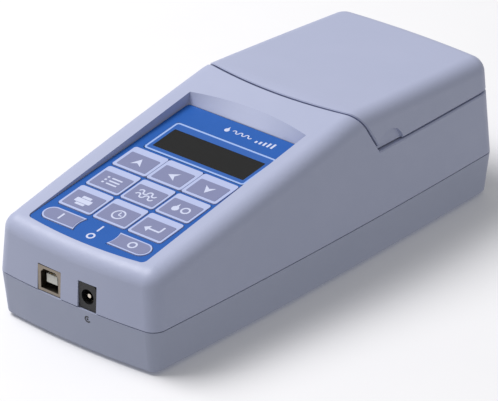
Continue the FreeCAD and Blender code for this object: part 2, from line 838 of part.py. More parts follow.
door = block(-door_x, door_x, door_axis_y, door_y1, base_z, door_top_z)
door_edge = rod(wall / 2, 2 * door_x, at(-door_x, door_axis_y, door_axis_z), at(1, 0, 0))
stub_reach = door_x + door_gap + door_pin_length - 0.3
stubs = rod(door_pin_radius, 2 * stub_reach, at(-stub_reach, door_axis_y, door_axis_z), at(1, 0, 0))
grip_y = door_y1 - door_grip_margin - door_grip_length / 2
grip = rod(door_grip_radius, door_grip_width,
           at(-door_grip_width / 2, grip_y, base_z - door_grip_radius + door_grip_depth), at(1, 0, 0))
door = joined([door, door_edge, stubs])
door = door.cut(grip.common(block(-far, far, grip_y - door_grip_length / 2, grip_y + door_grip_length / 2,
                                  base_z - 1, far)))
save("battery_door", door)

cells = []
cell_x0 = -(cell_count - 1) * cell_pitch / 2
cell_y0 = bay_y0 + (bay_length - cell_length) / 2
nub_radius = 2.75
nub_length = 1.0
for index in range(cell_count):
    x = cell_x0 + index * cell_pitch
    flip = index % 2 == 1
    can_start = cell_y0 + (nub_length if flip else 0)
    can = rod(cell_diameter / 2, cell_length - nub_length, at(x, can_start, cell_axis_z), at(0, 1, 0))
    nub_start = cell_y0 if flip else cell_y0 + cell_length - nub_length
    nub = rod(nub_radius, nub_length, at(x, nub_start, cell_axis_z), at(0, 1, 0))
    cells.append(can.fuse(nub).removeSplitter())
save("battery_cells", group(cells))

contacts = []
plate_half = 5.5
plate_thickness = 0.4
spring_wire = 0.45
spring_turns = 3
for index in range(cell_count):
    x = cell_x0 + index * cell_pitch
    gap_front = cell_y0 - bay_y0
    spring_in_front = index % 2 == 0
    plate_ys = (bay_y0, bay_y1 - plate_thickness)
    for end, plate_y in enumerate(plate_ys):
        plate = block(x - plate_half, x + plate_half, plate_y, plate_y + plate_thickness,
                      cell_axis_z - plate_half, cell_axis_z + plate_half)
        sprung = spring_in_front == (end == 0)
        pitch = (gap_front - plate_thickness - 2 * spring_wire) / spring_turns
        if sprung:
            helix = Part.makeHelix(pitch, pitch * spring_turns, 3.2)
            ring = Part.Wire(Part.makeCircle(spring_wire, at(3.2, 0, 0), at(0, 1, 0)))
            coil = Part.Wire(helix).makePipeShell([ring], True, True)
            turn = -90 if end == 0 else 90
            coil.rotate(at(0, 0, 0), at(1, 0, 0), turn)
            start = plate_y + plate_thickness + spring_wire * 0.9 if end == 0 else plate_y - spring_wire * 0.9
            coil.translate(at(x, start, cell_axis_z))
            plate = plate.fuse(coil)
        else:
            toward = 1 if end == 0 else -1
            bump_length = gap_front - plate_thickness - 0.1
            bump_y = plate_y + plate_thickness if end == 0 else plate_y - bump_length
            plate = plate.fuse(rod(1.8, bump_length, at(x, bump_y, cell_axis_z), at(0, 1, 0)))
        contacts.append(plate)
save("battery_contacts", group(contacts))

feet = []
for x, y in foot_places:
    foot = rod(foot_radius, base_z + foot_recess, at(x, y, 0))
    foot = foot.makeFillet(0.5, [e for e in foot.Edges if abs(e.CenterOfMass.z) < 0.01])
    feet.append(foot)
save("feet", group(feet))


def machine_screw(shank_radius, head_radius, head_height, length, slot):
    """Head below Z = 0, shank up the +Z axis, cross recess in the head."""
    head = rod(head_radius, head_height, at(0, 0, -head_height))
    rim = [e for e in head.Edges if abs(e.CenterOfMass.z + head_height) < 0.01]
    head = head.makeFillet(head_height * 0.35, rim)
    screw = head.fuse(rod(shank_radius, length, at(0, 0, 0))).removeSplitter()
    reach = head_radius * 0.6
    depth = head_height * 0.5
    low = -head_height - 0.1
    screw = screw.cut(block(-reach, reach, -slot / 2, slot / 2, low, low + depth))
    return screw.cut(block(-slot / 2, slot / 2, -reach, reach, low, low + depth))


def screws_at(places, shank_radius, head_radius, head_height, length, z, pointing_up):
    pattern = machine_screw(shank_radius, head_radius, head_height, length, shank_radius * 0.6)
    found = []
    for x, y in places:
        screw = pattern.copy()
        if not pointing_up:
            screw.rotate(at(0, 0, 0), at(1, 0, 0), 180)
        screw.translate(at(x, y, z))
        found.append(screw)
    return found


case_screws = screws_at(boss_places, screw_radius, screw_head_radius, screw_head_height, screw_length,
                        screw_seat_z, True)
save("case_screws", group(case_screws))

# ---------------------------------------------------------------------------
# Control panel: circuit, domes, spacer, overlay, window, keys
# ---------------------------------------------------------------------------

circuit_x = panel_width / 2 - 2.0
circuit = block(-circuit_x, circuit_x, up_slope(11.0), window_v0 - 1.0, -panel_stack,
                -panel_stack + circuit_thickness)
save("keypad_circuit", on_panel(circuit))

circuit_top = -panel_stack + circuit_thickness
domes = []
ball_radius = sagitta_radius(dome_radius, dome_height)
for x, v in dome_spots:
    ball = Part.makeSphere(ball_radius, at(x, v, circuit_top + dome_height - ball_radius))
    slab = block(x - dome_radius, x + dome_radius, v - dome_radius, v + dome_radius, circuit_top,
                 circuit_top + 1)
    domes.append(on_panel(ball.common(slab)))
save("snap_domes", group(domes))

spacer = panel_plate(overlay_edge_gap, circuit_top, -overlay_thickness)
spacer = spacer.cut(key_openings + [window_plate(0.1, -far / 10, 1)])
rear_pad = panel_plate(overlay_edge_gap, -panel_stack, circuit_top)
rear_pad = rear_pad.cut([window_plate(0.1, -far / 10, 1), block(-far, far, -far, window_v0 - 0.5, -far / 10, 1)])
save("keypad_spacer", on_panel(spacer.fuse(rear_pad).removeSplitter()))

overlay = panel_plate(overlay_edge_gap, -overlay_thickness, 0)
overlay = overlay.cut(key_openings + [window_plate(0.1, -far / 10, 1)])
save("overlay_panel", on_panel(overlay))

for name, (column, row) in key_places.items():
    save(name, on_panel(key_pad(column, row, 0, key_low, key_rise)))
for name, column in arrow_places.items():
    save(name, on_panel(arrow_pad(column, key_low, key_rise)))
for name, side in power_places.items():
    save(name, on_panel(power_pad(side, 0, key_low, key_rise)))

# ---------------------------------------------------------------------------
# Display stack under the window
# ---------------------------------------------------------------------------

window = window_plate(0, -panel_stack, 0)
save("display_window", on_panel(window))

floor_under = -panel_stack - panel_floor_thickness
glass_high = floor_under - display_fit
glass = view_plate(display_glass_margin, glass_high - display_glass_thickness, glass_high)
save("display_glass", on_panel(glass))

board_top = floor_under - display_bezel_depth
bezel_grow = display_glass_margin + display_bezel_rim
bezel = view_plate(bezel_grow, board_top, glass_high)
bezel = bezel.cut(view_plate(display_glass_margin + 2 * display_fit, board_top - 1, floor_under + 1))
save("display_bezel", on_panel(bezel))

board_x = display_board_length / 2
board_half_v = display_board_depth / 2
display_board = block(-board_x, board_x, window_v - board_half_v, window_v + board_half_v,
                      board_top - board_thickness, board_top)
hole_radius = small_screw_radius + screw_hole_clearance
holes = [rod(hole_radius, far, at(x, v, -far / 2)) for x, v in display_screw_places]
save("display_board", on_panel(display_board.cut(holes)))

display_screws = screws_at(display_screw_places, small_screw_radius, small_screw_head_radius,
                           small_screw_head_height, 4.5, board_top - board_thickness, True)
save("display_screws", group([on_panel(screw) for screw in display_screws]))

# ---------------------------------------------------------------------------
# Front sockets and their board
# ---------------------------------------------------------------------------

socket_y = back(socket_setback)


def usb_section(width, height, y, z_low, chamfer):
    """Front view of the square socket with its two upper corners cut."""
    x0 = usb_offset_x - width / 2
    x1 = usb_offset_x + width / 2
    z1 = z_low + height
    points = [at(x0, y, z_low), at(x1, y, z_low), at(x1, y, z1 - chamfer), at(x1 - chamfer, y, z1),
              at(x0 + chamfer, y, z1), at(x0, y, z1 - chamfer)]
    edges = [Part.makeLine(points[i], points[(i + 1) % len(points)]) for i in range(len(points))]
    return Part.Face(Part.Wire(edges))


mouth_low = socket_z + (usb_height - usb_mouth_height) / 2
shell_box = block(usb_offset_x - usb_width / 2, usb_offset_x + usb_width / 2, socket_y,
                  socket_y + usb_depth, socket_z, socket_z + usb_height)
shell_space = block(usb_offset_x - usb_width / 2 + usb_shell_thickness,
                    usb_offset_x + usb_width / 2 - usb_shell_thickness,
                    socket_y + usb_shell_thickness, socket_y + usb_depth + 1,
                    socket_z + usb_shell_thickness, socket_z + usb_height - usb_shell_thickness)
mouth = usb_section(usb_mouth_width, usb_mouth_height, socket_y - 1, mouth_low, usb_mouth_chamfer)
usb_shell = shell_box.cut([shell_space, mouth.extrude(at(0, 3, 0))])
save("usb_shell", usb_shell)

fit_gap = 0.05
insulator_back = socket_y + usb_depth - usb_insulator_length
insulator = block(usb_offset_x - usb_width / 2 + usb_shell_thickness + fit_gap,
                  usb_offset_x + usb_width / 2 - usb_shell_thickness - fit_gap,
                  insulator_back, socket_y + usb_depth - 0.5,
                  socket_z + usb_shell_thickness + fit_gap, socket_z + usb_height - usb_shell_thickness - fit_gap)
tongue_z = socket_z + usb_height / 2
tongue = block(usb_offset_x - usb_tongue_width / 2, usb_offset_x + usb_tongue_width / 2,
               socket_y + usb_tongue_setback, insulator_back + 1, tongue_z - usb_tongue_height / 2,
               tongue_z + usb_tongue_height / 2)
save("usb_insulator", insulator.fuse(tongue).removeSplitter())

contact_bars = []
bar_spacing = 2.5
bar_width = 1.0
bar_thickness = 0.25
for x in (usb_offset_x - bar_spacing / 2, usb_offset_x + bar_spacing / 2):
    for z0 in (tongue_z + usb_tongue_height / 2, tongue_z - usb_tongue_height / 2 - bar_thickness):
        contact_bars.append(block(x - bar_width / 2, x + bar_width / 2, socket_y + usb_tongue_setback + 0.7,
                                  insulator_back, z0, z0 + bar_thickness))
save("usb_contacts", group(contact_bars))

dc_z = socket_z + dc_height / 2
dc_body = block(dc_offset_x - dc_width / 2, dc_offset_x + dc_width / 2, socket_y, socket_y + dc_depth,
                socket_z, socket_z + dc_height)
dc_top_z = socket_z + dc_height - 0.01
top_edges = [e for e in dc_body.Edges if e.CenterOfMass.z > dc_top_z and not runs_along_x(e)]
dc_body = dc_body.makeFillet(1.5, top_edges)
dc_body = dc_body.cut(rod(dc_mouth_radius, dc_mouth_depth, at(dc_offset_x, socket_y, dc_z), at(0, 1, 0)))
save("dc_jack_body", dc_body)

dc_pin = rod(dc_pin_radius, dc_mouth_depth - 1.0, at(dc_offset_x, socket_y + 1.0, dc_z), at(0, 1, 0))
dc_leaf = block(dc_offset_x - 0.8, dc_offset_x + 0.8, socket_y + 3, socket_y + dc_mouth_depth,
                dc_z - dc_mouth_radius + 0.1, dc_z - dc_mouth_radius + 0.5)
save("dc_jack_contacts", group([dc_pin, dc_leaf]))

connector_x0 = (usb_offset_x + dc_offset_x - connector_board_length) / 2
board_front = wall + lip_wall + board_front_margin
connector_board = block(connector_x0, connector_x0 + connector_board_length, back(board_front),
                        back(board_front + connector_board_depth), socket_z - board_thickness, socket_z)
save("connector_board", connector_board)

header_y = back(main_board_front_distance + 1.0)
header = block(-6.4, 6.4, header_y, header_y + 5.0, socket_z, main_board_z)
save("board_link", header)

# ---------------------------------------------------------------------------
# Main board and its parts
# ---------------------------------------------------------------------------

main_half = main_board_width / 2
main_board = block(-main_half, main_half, back(main_board_front_distance), back(main_board_rear_distance),
                   main_board_z, main_board_z + board_thickness)
holes = [rod(small_screw_radius + screw_hole_clearance, far, at(x, y, 0)) for x, y in main_screw_places]
save("main_board", main_board.cut(holes))

main_screws = screws_at(main_screw_places, small_screw_radius, small_screw_head_radius, small_screw_head_height,
                        main_screw_length, main_board_z + board_thickness, False)
save("main_board_screws", group(main_screws))

top_side = main_board_z + board_thickness
chips = []
# processor, regulator, socket strip and memory: left, right, front, rear, height
for x0, x1, front, rear, height in (
    (-8, 6, 50, 64, 1.4),
    (12, 20, 54, 60, 1.8),
    (-24, -12, 98, 105, 4.5),
    (10, 17, 98, 103, 1.6),
):
    chips.append(block(x0, x1, back(front), back(rear), top_side, top_side + height))
# two round capacitors: middle across, middle back, radius, height
for x, distance, radius, height in ((-18, 54, 5.0, 6.0), (20, 44, 4.5, 8.0)):
    chips.append(rod(radius, height, at(x, back(distance), top_side)))
# a row of six small resistors
for index in range(6):
    x = (index - 2.5) * 5
    chips.append(block(x - 1.0, x + 1.0, back(84), back(87.2), top_side, top_side + 1.0))
save("main_board_parts", group(chips))

ribbon_x = 8.0
ribbon_v = window_v - display_board_depth / 2 + 4
ribbon_top = on_panel(Part.Vertex(at(0, ribbon_v, board_top - board_thickness))).Point
ribbon_thickness = 0.3
ribbon_y = ribbon_top.y
ribbon = block(-ribbon_x, ribbon_x, ribbon_y, ribbon_y + ribbon_thickness, top_side, ribbon_top.z - 0.1)
save("display_ribbon", ribbon)

# ---------------------------------------------------------------------------
# Sample well, optics and their boards
# ---------------------------------------------------------------------------

block_top_z = deck_z - deck_thickness - 0.3
body = block(-block_half, block_half, well_y - block_half, well_y + block_half, floor_top_z, block_top_z)
collar = rod(collar_radius, deck_z + well_collar_rise - block_top_z + 1, at(0, well_y, block_top_z - 1))
flange_low = floor_top_z + block_flange_height
flange_high = flange_low + block_flange_thickness
flange_half = block_flange_width / 2
flanges = []
for side in (-1, 1):
    x0 = block_half - 1 if side > 0 else -block_half - block_flange_width
    for y in (well_y - block_screw_span, well_y + block_screw_span):
        flanges.append(block(x0, x0 + block_flange_width + 1, y - flange_half, y + flange_half, flange_low,
                             flange_high))
well_block = joined([body, collar] + flanges)
cuts = [rod(well_radius, far, at(0, well_y, well_bottom_z))]
beam_z = floor_top_z + beam_height
cuts.append(rod(beam_radius, 2 * block_half + 2, at(-block_half - 1, well_y, beam_z), at(1, 0, 0)))
filter_radius = 5.0
filter_thickness = 3.0
filter_x = block_half - filter_thickness
cuts.append(rod(filter_radius + 0.1, filter_thickness + 1, at(filter_x, well_y, beam_z), at(1, 0, 0)))
for x, y in block_screw_places:
    cuts.append(rod(small_screw_radius + screw_hole_clearance, far, at(x, y, floor_top_z)))
well_block = well_block.cut(cuts)
save("optical_block", well_block)

block_screws = screws_at(block_screw_places, small_screw_radius, small_screw_head_radius,
                         small_screw_head_height, block_screw_length, flange_high, False)
save("block_screws", group(block_screws))

gasket_inner = collar_radius + moving_gap + 1.0
gasket = rod(gasket_inner + gasket_width, gasket_height, at(0, well_y, deck_z))
gasket = gasket.cut(rod(gasket_inner, far, at(0, well_y, deck_z - 1)))
save("well_gasket", gasket)

optical_filter = rod(filter_radius, filter_thickness - 0.2, at(filter_x + 0.1, well_y, beam_z), at(1, 0, 0))
save("optical_filter", optical_filter)

side_board_half = 9.0
side_board_x = block_half + 9.0
detector = rod(4.2, 6.0, at(side_board_x - 6.0, well_y, beam_z), at(1, 0, 0))
save("detector", detector)
detector_board = block(side_board_x, side_board_x + board_thickness, well_y - side_board_half,
                       well_y + side_board_half, beam_z - side_board_half, beam_z + side_board_half)
save("detector_board", detector_board)

lamp_radius = 2.5
lamp_base = rod(lamp_radius + 0.4, 1.0, at(-side_board_x, well_y, beam_z), at(1, 0, 0))
lamp_body = rod(lamp_radius, 5.0, at(-side_board_x + 1.0, well_y, beam_z), at(1, 0, 0))
lamp_tip = Part.makeSphere(lamp_radius, at(-side_board_x + 6.0, well_y, beam_z))
save("lamp", joined([lamp_base, lamp_body, lamp_tip]))
lamp_board = block(-side_board_x - board_thickness, -side_board_x, well_y - side_board_half,
                   well_y + side_board_half, beam_z - side_board_half, beam_z + side_board_half)
save("lamp_board", lamp_board)
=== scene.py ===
# %% [markdown]
# A digital water tester for pools and spas stands on a pale floor.  It is a
# wedge of moulded plastic: a sloping panel with a display and keys in front,
# and a hinged lid over a round sample well behind.  The moving, measured parts
# come from the CAD model, loaded here as a fixed frame.  This script gives
# every part its finish and adds everything that is printed on it.

# %% Load the frame and the tools
import json
import math
import bmesh
import bpy
from mathutils import Matrix, Vector
from mathutils.bvhtree import BVHTree


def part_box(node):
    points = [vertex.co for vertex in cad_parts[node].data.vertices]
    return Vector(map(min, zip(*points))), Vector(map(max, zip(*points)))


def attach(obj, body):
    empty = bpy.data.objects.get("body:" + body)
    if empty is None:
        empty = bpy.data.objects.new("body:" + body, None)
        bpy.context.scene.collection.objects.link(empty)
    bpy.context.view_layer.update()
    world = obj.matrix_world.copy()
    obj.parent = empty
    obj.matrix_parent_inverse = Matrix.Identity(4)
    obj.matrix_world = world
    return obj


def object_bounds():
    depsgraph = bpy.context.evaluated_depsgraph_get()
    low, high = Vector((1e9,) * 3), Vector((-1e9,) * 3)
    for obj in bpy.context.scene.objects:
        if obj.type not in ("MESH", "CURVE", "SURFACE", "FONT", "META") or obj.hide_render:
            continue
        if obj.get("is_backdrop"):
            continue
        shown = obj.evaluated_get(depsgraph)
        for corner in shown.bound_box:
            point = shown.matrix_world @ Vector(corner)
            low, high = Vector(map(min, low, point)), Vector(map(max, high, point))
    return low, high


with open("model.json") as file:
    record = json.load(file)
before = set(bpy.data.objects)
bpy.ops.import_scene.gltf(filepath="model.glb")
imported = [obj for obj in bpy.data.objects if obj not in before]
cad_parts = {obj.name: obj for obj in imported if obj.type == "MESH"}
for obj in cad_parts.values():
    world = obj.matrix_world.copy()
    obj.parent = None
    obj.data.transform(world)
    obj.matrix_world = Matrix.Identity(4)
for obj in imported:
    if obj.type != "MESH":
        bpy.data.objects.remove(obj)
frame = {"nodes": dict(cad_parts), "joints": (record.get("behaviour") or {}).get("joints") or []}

mm = 0.001
nodes = frame["nodes"]
cad_low, cad_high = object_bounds()
print("nodes", len(nodes), "size in mm", [round((b - a) / mm, 1) for a, b in zip(cad_low, cad_high)])

# %% [markdown]
# Colours are easiest to pick as the hex values of a paint program, which are
# stored on the sRGB curve.  Shaders work in linear light, so one function
# turns one into the other.  Only the lamp's own tint, which is almost white, is
# given in linear light directly.

# %% Colour helper
def linear(hex_colour):
    """An sRGB hex colour such as #BAC1DD as linear red, green, blue and a full alpha."""
    channels = []
    for start in (1, 3, 5):
        value = int(hex_colour[start:start + 2], 16) / 255
        channels.append(value / 12.92 if value <= 0.04045 else ((value + 0.055) / 1.055) ** 2.4)
    return (*channels, 1.0)


print("mid grey is", [round(value, 3) for value in linear("#808080")])

# %% [markdown]
# A material is a small graph of nodes.  Adding one by hand takes a line for
# each setting and each link, so one helper does it: it makes the node, sets
# its own properties, and fills each input with either a value or a link.
# Inputs are named, or numbered where two of them share a name.  A second
# helper starts a material, with its output and its Object coordinates, which
# are the real position on the part in metres.

# %% Node helper and material starter
def add(tree, kind, inputs=None, **settings):
    """Add a shader node with its settings; an input may be a value or a socket to link."""
    made = tree.nodes.new(kind)
    for name, value in settings.items():
        setattr(made, name, value)
    for name, value in (inputs or {}).items():
        if isinstance(value, bpy.types.NodeSocket):
            tree.links.new(value, made.inputs[name])
        else:
            made.inputs[name].default_value = value
    return made


def new_material(name):
    """An empty material, its node tree, and the Object coordinates in it."""
    material = bpy.data.materials.new(name)
    material.use_nodes = True
    tree = material.node_tree
    tree.nodes.clear()
    place = add(tree, "ShaderNodeTexCoord").outputs["Object"]
    return material, tree, place


def finish_material(tree, inputs):
    """Close a material with its one Principled surface."""
    surface = add(tree, "ShaderNodeBsdfPrincipled", inputs)
    add(tree, "ShaderNodeOutputMaterial", {"Surface": surface.outputs[0]})


def per_size(size_mm):
    """The texture scale whose features are about this many millimetres across."""
    return 1 / (size_mm * mm)


print("a 0.5 mm grain has scale", per_size(0.5))

# %% [markdown]
# The case is injection moulded ABS in a cool lavender grey.  Its mould has a
# fine spark-eroded skin, which breaks reflections up into a soft satin sheen.
# The real grain is about 0.15 mm; it is drawn at 0.45 mm so that it still
# shows.  Broad flow marks, a few centimetres long, shift the tone very little.
# The base and the battery door come from another shot of the same plastic, so
# they share the recipe with slightly different colours.

# %% Moulded ABS of the case
def moulded_case_abs(name, light_hex, dark_hex, gloss):
    material, tree, place = new_material(name)
    grain = add(tree, "ShaderNodeTexNoise", {"Vector": place, "Scale": per_size(0.45), "Detail": 3.0,
                                             "Roughness": 0.6})
    flow = add(tree, "ShaderNodeTexNoise", {"Vector": place, "Scale": per_size(26.0), "Detail": 2.0})
    handling = add(tree, "ShaderNodeTexNoise", {"Vector": place, "Scale": per_size(7.0), "Detail": 4.0})
    tone = add(tree, "ShaderNodeMix", {"Factor": flow.outputs[0], 6: linear(light_hex),
                                       7: linear(dark_hex)}, data_type="RGBA")
    satin = add(tree, "ShaderNodeMapRange", {0: handling.outputs[0], 1: 0.3, 2: 0.7, 3: gloss - 0.04,
                                             4: gloss + 0.05})
    skin = add(tree, "ShaderNodeBump", {"Strength": 0.45, "Distance": 0.012 * mm,
                                        "Height": grain.outputs[0]})
    finish_material(tree, {"Base Color": tone.outputs[2], "Roughness": satin.outputs[0],
                           "Normal": skin.outputs[0], "IOR": 1.53})
    return material


case_abs = moulded_case_abs("abs_moulded_lavender_grey", "#B4BAD5", "#AFB6D1", 0.44)
base_abs = moulded_case_abs("abs_moulded_base_grey", "#AEB4CC", "#A9B0C8", 0.48)
print("case plastics:", case_abs.name, "and", base_abs.name)

# %% [markdown]
# The dark parts inside, such as the lid liner and the block that holds the
# lamp, are moulded ABS too, filled with carbon black so that no stray light
# reaches the detector.  The same grain on black reads as a faint grey bloom.

# %% Black moulded ABS
black_abs, tree, place = new_material("abs_moulded_carbon_black")
grain = add(tree, "ShaderNodeTexNoise", {"Vector": place, "Scale": per_size(0.5), "Detail": 3.0})
bloom = add(tree, "ShaderNodeTexNoise", {"Vector": place, "Scale": per_size(9.0), "Detail": 3.0})
tone = add(tree, "ShaderNodeMix", {"Factor": bloom.outputs[0], 6: linear("#17171B"),
                                   7: linear("#222228")}, data_type="RGBA")
satin = add(tree, "ShaderNodeMapRange", {0: grain.outputs[0], 3: 0.42, 4: 0.62})
skin = add(tree, "ShaderNodeBump", {"Strength": 0.5, "Distance": 0.015 * mm, "Height": grain.outputs[0]})
finish_material(tree, {"Base Color": tone.outputs[2], "Roughness": satin.outputs[0],
                       "Normal": skin.outputs[0], "IOR": 1.53})
print("black plastic:", black_abs.name)

# %% [markdown]
# The panel is a printed polycarbonate film.  The colour is screen printed on
# its back and seen through a clear, finely textured face, so it looks deep and
# even with a faint velvety shine: a mid roughness and a weak reflection.  The
# texture is a fine 0.1 mm stipple, drawn here at 0.35 mm to be seen.

# %% Printed polycarbonate film
def printed_film(name, ink_hex, shade_hex):
    material, tree, place = new_material(name)
    stipple = add(tree, "ShaderNodeTexVoronoi", {"Vector": place, "Scale": per_size(0.35)})
    ink = add(tree, "ShaderNodeTexNoise", {"Vector": place, "Scale": per_size(5.0), "Detail": 3.0})
    tone = add(tree, "ShaderNodeMix", {"Factor": ink.outputs[0], 6: linear(ink_hex),
                                       7: linear(shade_hex)}, data_type="RGBA")
    velvet = add(tree, "ShaderNodeMapRange", {0: ink.outputs[0], 1: 0.3, 2: 0.7, 3: 0.48, 4: 0.58})
    face = add(tree, "ShaderNodeBump", {"Strength": 0.3, "Distance": 0.008 * mm,
                                        "Height": stipple.outputs[0]})
    finish_material(tree, {"Base Color": tone.outputs[2], "Roughness": velvet.outputs[0],
                           "Normal": face.outputs[0], "IOR": 1.58, "Specular IOR Level": 0.25})
    return material


blue_film = printed_film("polycarbonate_film_printed_blue", "#1C5DB2", "#1858AB")
key_film = printed_film("polycarbonate_film_embossed_white", "#B9C3E6", "#B3BDE2")
grey_film = printed_film("polycarbonate_film_printed_grey", "#858AAE", "#8085A9")
print("films:", blue_film.name, key_film.name, grey_film.name)

# %% [markdown]
# Silk-screen ink sits on a surface as a thin, slightly uneven layer.  It is
# about as matt as the film, with pinholes too small to draw; a soft blotch
# of tone and roughness a millimetre across stands for the uneven layer.

# %% Screen-printed ink
def screen_ink(name, ink_hex, thin_hex):
    material, tree, place = new_material(name)
    layer = add(tree, "ShaderNodeTexNoise", {"Vector": place, "Scale": per_size(1.0), "Detail": 4.0})
    tone = add(tree, "ShaderNodeMix", {"Factor": layer.outputs[0], 6: linear(ink_hex),
                                       7: linear(thin_hex)}, data_type="RGBA")
    dry = add(tree, "ShaderNodeMapRange", {0: layer.outputs[0], 3: 0.42, 4: 0.6})
    finish_material(tree, {"Base Color": tone.outputs[2], "Roughness": dry.outputs[0], "IOR": 1.5})
    return material


white_ink = screen_ink("ink_screen_printed_white", "#D3D9F0", "#C9D0EA")
pale_blue_ink = screen_ink("ink_screen_printed_pale_blue", "#A5BFF0", "#98B4EA")
blue_ink = screen_ink("ink_screen_printed_blue", "#1C5DB2", "#1858AB")
dark_ink = screen_ink("ink_screen_printed_dark_grey", "#26282E", "#303238")
print("inks:", white_ink.name, pale_blue_ink.name, blue_ink.name, dark_ink.name)

# %% [markdown]
# The display sits behind a cast acrylic window, smoked so that the switched-off
# glass looks nearly black.  Acrylic has an IOR of 1.49 and a polished face.
# Light crosses it on the way in and again on the way out, so the dark tint
# counts twice and the display behind it hardly shows.  A very slight waviness,
# 12 mm long, bends the reflections.

# %% Smoked acrylic window
smoked_acrylic, tree, place = new_material("acrylic_cast_smoked")
waves = add(tree, "ShaderNodeTexNoise", {"Vector": place, "Scale": per_size(12.0), "Detail": 1.0})
flat = add(tree, "ShaderNodeBump", {"Strength": 0.2, "Distance": 0.02 * mm, "Height": waves.outputs[0]})
smear = add(tree, "ShaderNodeTexNoise", {"Vector": place, "Scale": per_size(4.0), "Detail": 3.0})
polish = add(tree, "ShaderNodeMapRange", {0: smear.outputs[0], 3: 0.06, 4: 0.14})
finish_material(tree, {"Base Color": linear("#34373B"), "Roughness": polish.outputs[0], "IOR": 1.49,
                       "Transmission Weight": 1.0, "Normal": flat.outputs[0]})
print("window:", smoked_acrylic.name)

# %% [markdown]
# A character display is a glass cell over a dark green-grey polariser.  Even
# when it is off, its blocks of dots are faintly darker rectangles.  A brick
# pattern without offset makes that grid: each block is 2.95 mm wide and 5.5 mm
# high, so about sixteen fit across the opening, and the pattern is turned to
# lie along the sloping panel.

# %% Liquid crystal display
panel_lean = math.radians(8.4)
lcd_glass, tree, place = new_material("lcd_glass_polariser_dark_green")
on_slope = add(tree, "ShaderNodeMapping", {"Vector": place, "Rotation": (-panel_lean, 0, 0)},
               vector_type="POINT")
blocks = add(tree, "ShaderNodeTexBrick", {"Vector": on_slope.outputs[0], "Color1": linear("#121613"),
                                          "Color2": linear("#131714"), "Mortar": linear("#1B201C"),
                                          "Scale": 1.0, "Mortar Size": 0.3 * mm, "Mortar Smooth": 0.2,
                                          "Brick Width": 2.95 * mm, "Row Height": 5.5 * mm},
             offset=0.0)
dust = add(tree, "ShaderNodeTexNoise", {"Vector": place, "Scale": per_size(2.0), "Detail": 3.0})
sheen = add(tree, "ShaderNodeMapRange", {0: dust.outputs[0], 3: 0.12, 4: 0.2})
finish_material(tree, {"Base Color": blocks.outputs[0], "Roughness": sheen.outputs[0], "IOR": 1.52})
print("display:", lcd_glass.name)

# %% [markdown]
# Most metal parts are plated.  Bright nickel on the springs, domes and power
# contacts has a warm grey colour and a fairly sharp shine; the drawn shell of the
# USB socket is a duller and darker nickel; zinc on the screws is bluer and
# duller.  The USB contacts have a gold flash, and the hinge pin is bare steel.
# A metal's colour is its reflection, so metallic is 1 and the variation goes in
# the roughness: a blotchy 1.5 mm for the plating bath, and fine stretched
# streaks for drawn or turned stock.

# %% Plated metals
def plated_metal(name, metal_hex, bright, dull, streak_mm):
    material, tree, place = new_material(name)
    bath = add(tree, "ShaderNodeTexNoise", {"Vector": place, "Scale": per_size(1.5), "Detail": 4.0})
    drawn = add(tree, "ShaderNodeMapping", {"Vector": place, "Scale": (0.08, 1.0, 1.0)})
    streaks = add(tree, "ShaderNodeTexNoise", {"Vector": drawn.outputs[0], "Scale": per_size(streak_mm),
                                               "Detail": 2.0})
    shine = add(tree, "ShaderNodeMapRange", {0: bath.outputs[0], 1: 0.3, 2: 0.7, 3: bright, 4: dull})
    lines = add(tree, "ShaderNodeBump", {"Strength": 0.25, "Distance": 0.006 * mm,
                                         "Height": streaks.outputs[0]})
    finish_material(tree, {"Base Color": linear(metal_hex), "Metallic": 1.0,
                           "Roughness": shine.outputs[0], "Normal": lines.outputs[0]})
    return material


nickel = plated_metal("nickel_bright_plated", "#CFC6B8", 0.18, 0.34, 0.35)
dull_nickel = plated_metal("nickel_plated_drawn_dull", "#8F867B", 0.34, 0.5, 0.4)
zinc = plated_metal("steel_zinc_plated", "#C3C8CC", 0.28, 0.46, 0.3)
bright_steel = plated_metal("stainless_steel_ground", "#BFC1C2", 0.16, 0.28, 0.25)
gold_flash = plated_metal("gold_flash_over_nickel", "#D9BE7A", 0.2, 0.34, 0.3)
print("metals:", nickel.name, dull_nickel.name, zinc.name, bright_steel.name, gold_flash.name)

# %% [markdown]
# The feet are moulded rubber and the ring round the well is foam rubber.
# Rubber is nearly black, with a broad weak highlight and a trace of white
# bloom.  Foam shows its skin of open cells, about 0.4 mm wide, as a bump, and each
# cell is painted darker towards its middle, as painted shade in its pit.

# %% Rubber and foam
foot_rubber, tree, place = new_material("rubber_moulded_black")
dusting = add(tree, "ShaderNodeTexNoise", {"Vector": place, "Scale": per_size(1.2), "Detail": 5.0})
tone = add(tree, "ShaderNodeMix", {"Factor": dusting.outputs[0], 6: linear("#1B1B1C"),
                                   7: linear("#2B2B2C")}, data_type="RGBA")
skin = add(tree, "ShaderNodeBump", {"Strength": 0.4, "Distance": 0.02 * mm,
                                    "Height": dusting.outputs[0]})
finish_material(tree, {"Base Color": tone.outputs[2], "Roughness": 0.78, "Normal": skin.outputs[0],
                       "IOR": 1.52})

foam_rubber, tree, place = new_material("foam_rubber_skinned_black")
cells = add(tree, "ShaderNodeTexVoronoi", {"Vector": place, "Scale": per_size(0.4)})
# Painted shade: each cell is darker towards its middle, where the bump sinks into a pit.
tone = add(tree, "ShaderNodeMix", {"Factor": cells.outputs[0], 6: linear("#151516"),
                                   7: linear("#262627")}, data_type="RGBA")
pores = add(tree, "ShaderNodeBump", {"Strength": 0.7, "Distance": 0.08 * mm,
                                     "Height": cells.outputs[0]})
finish_material(tree, {"Base Color": tone.outputs[2], "Roughness": 0.88, "Normal": pores.outputs[0],
                       "IOR": 1.5})
print("rubbers:", foot_rubber.name, foam_rubber.name)

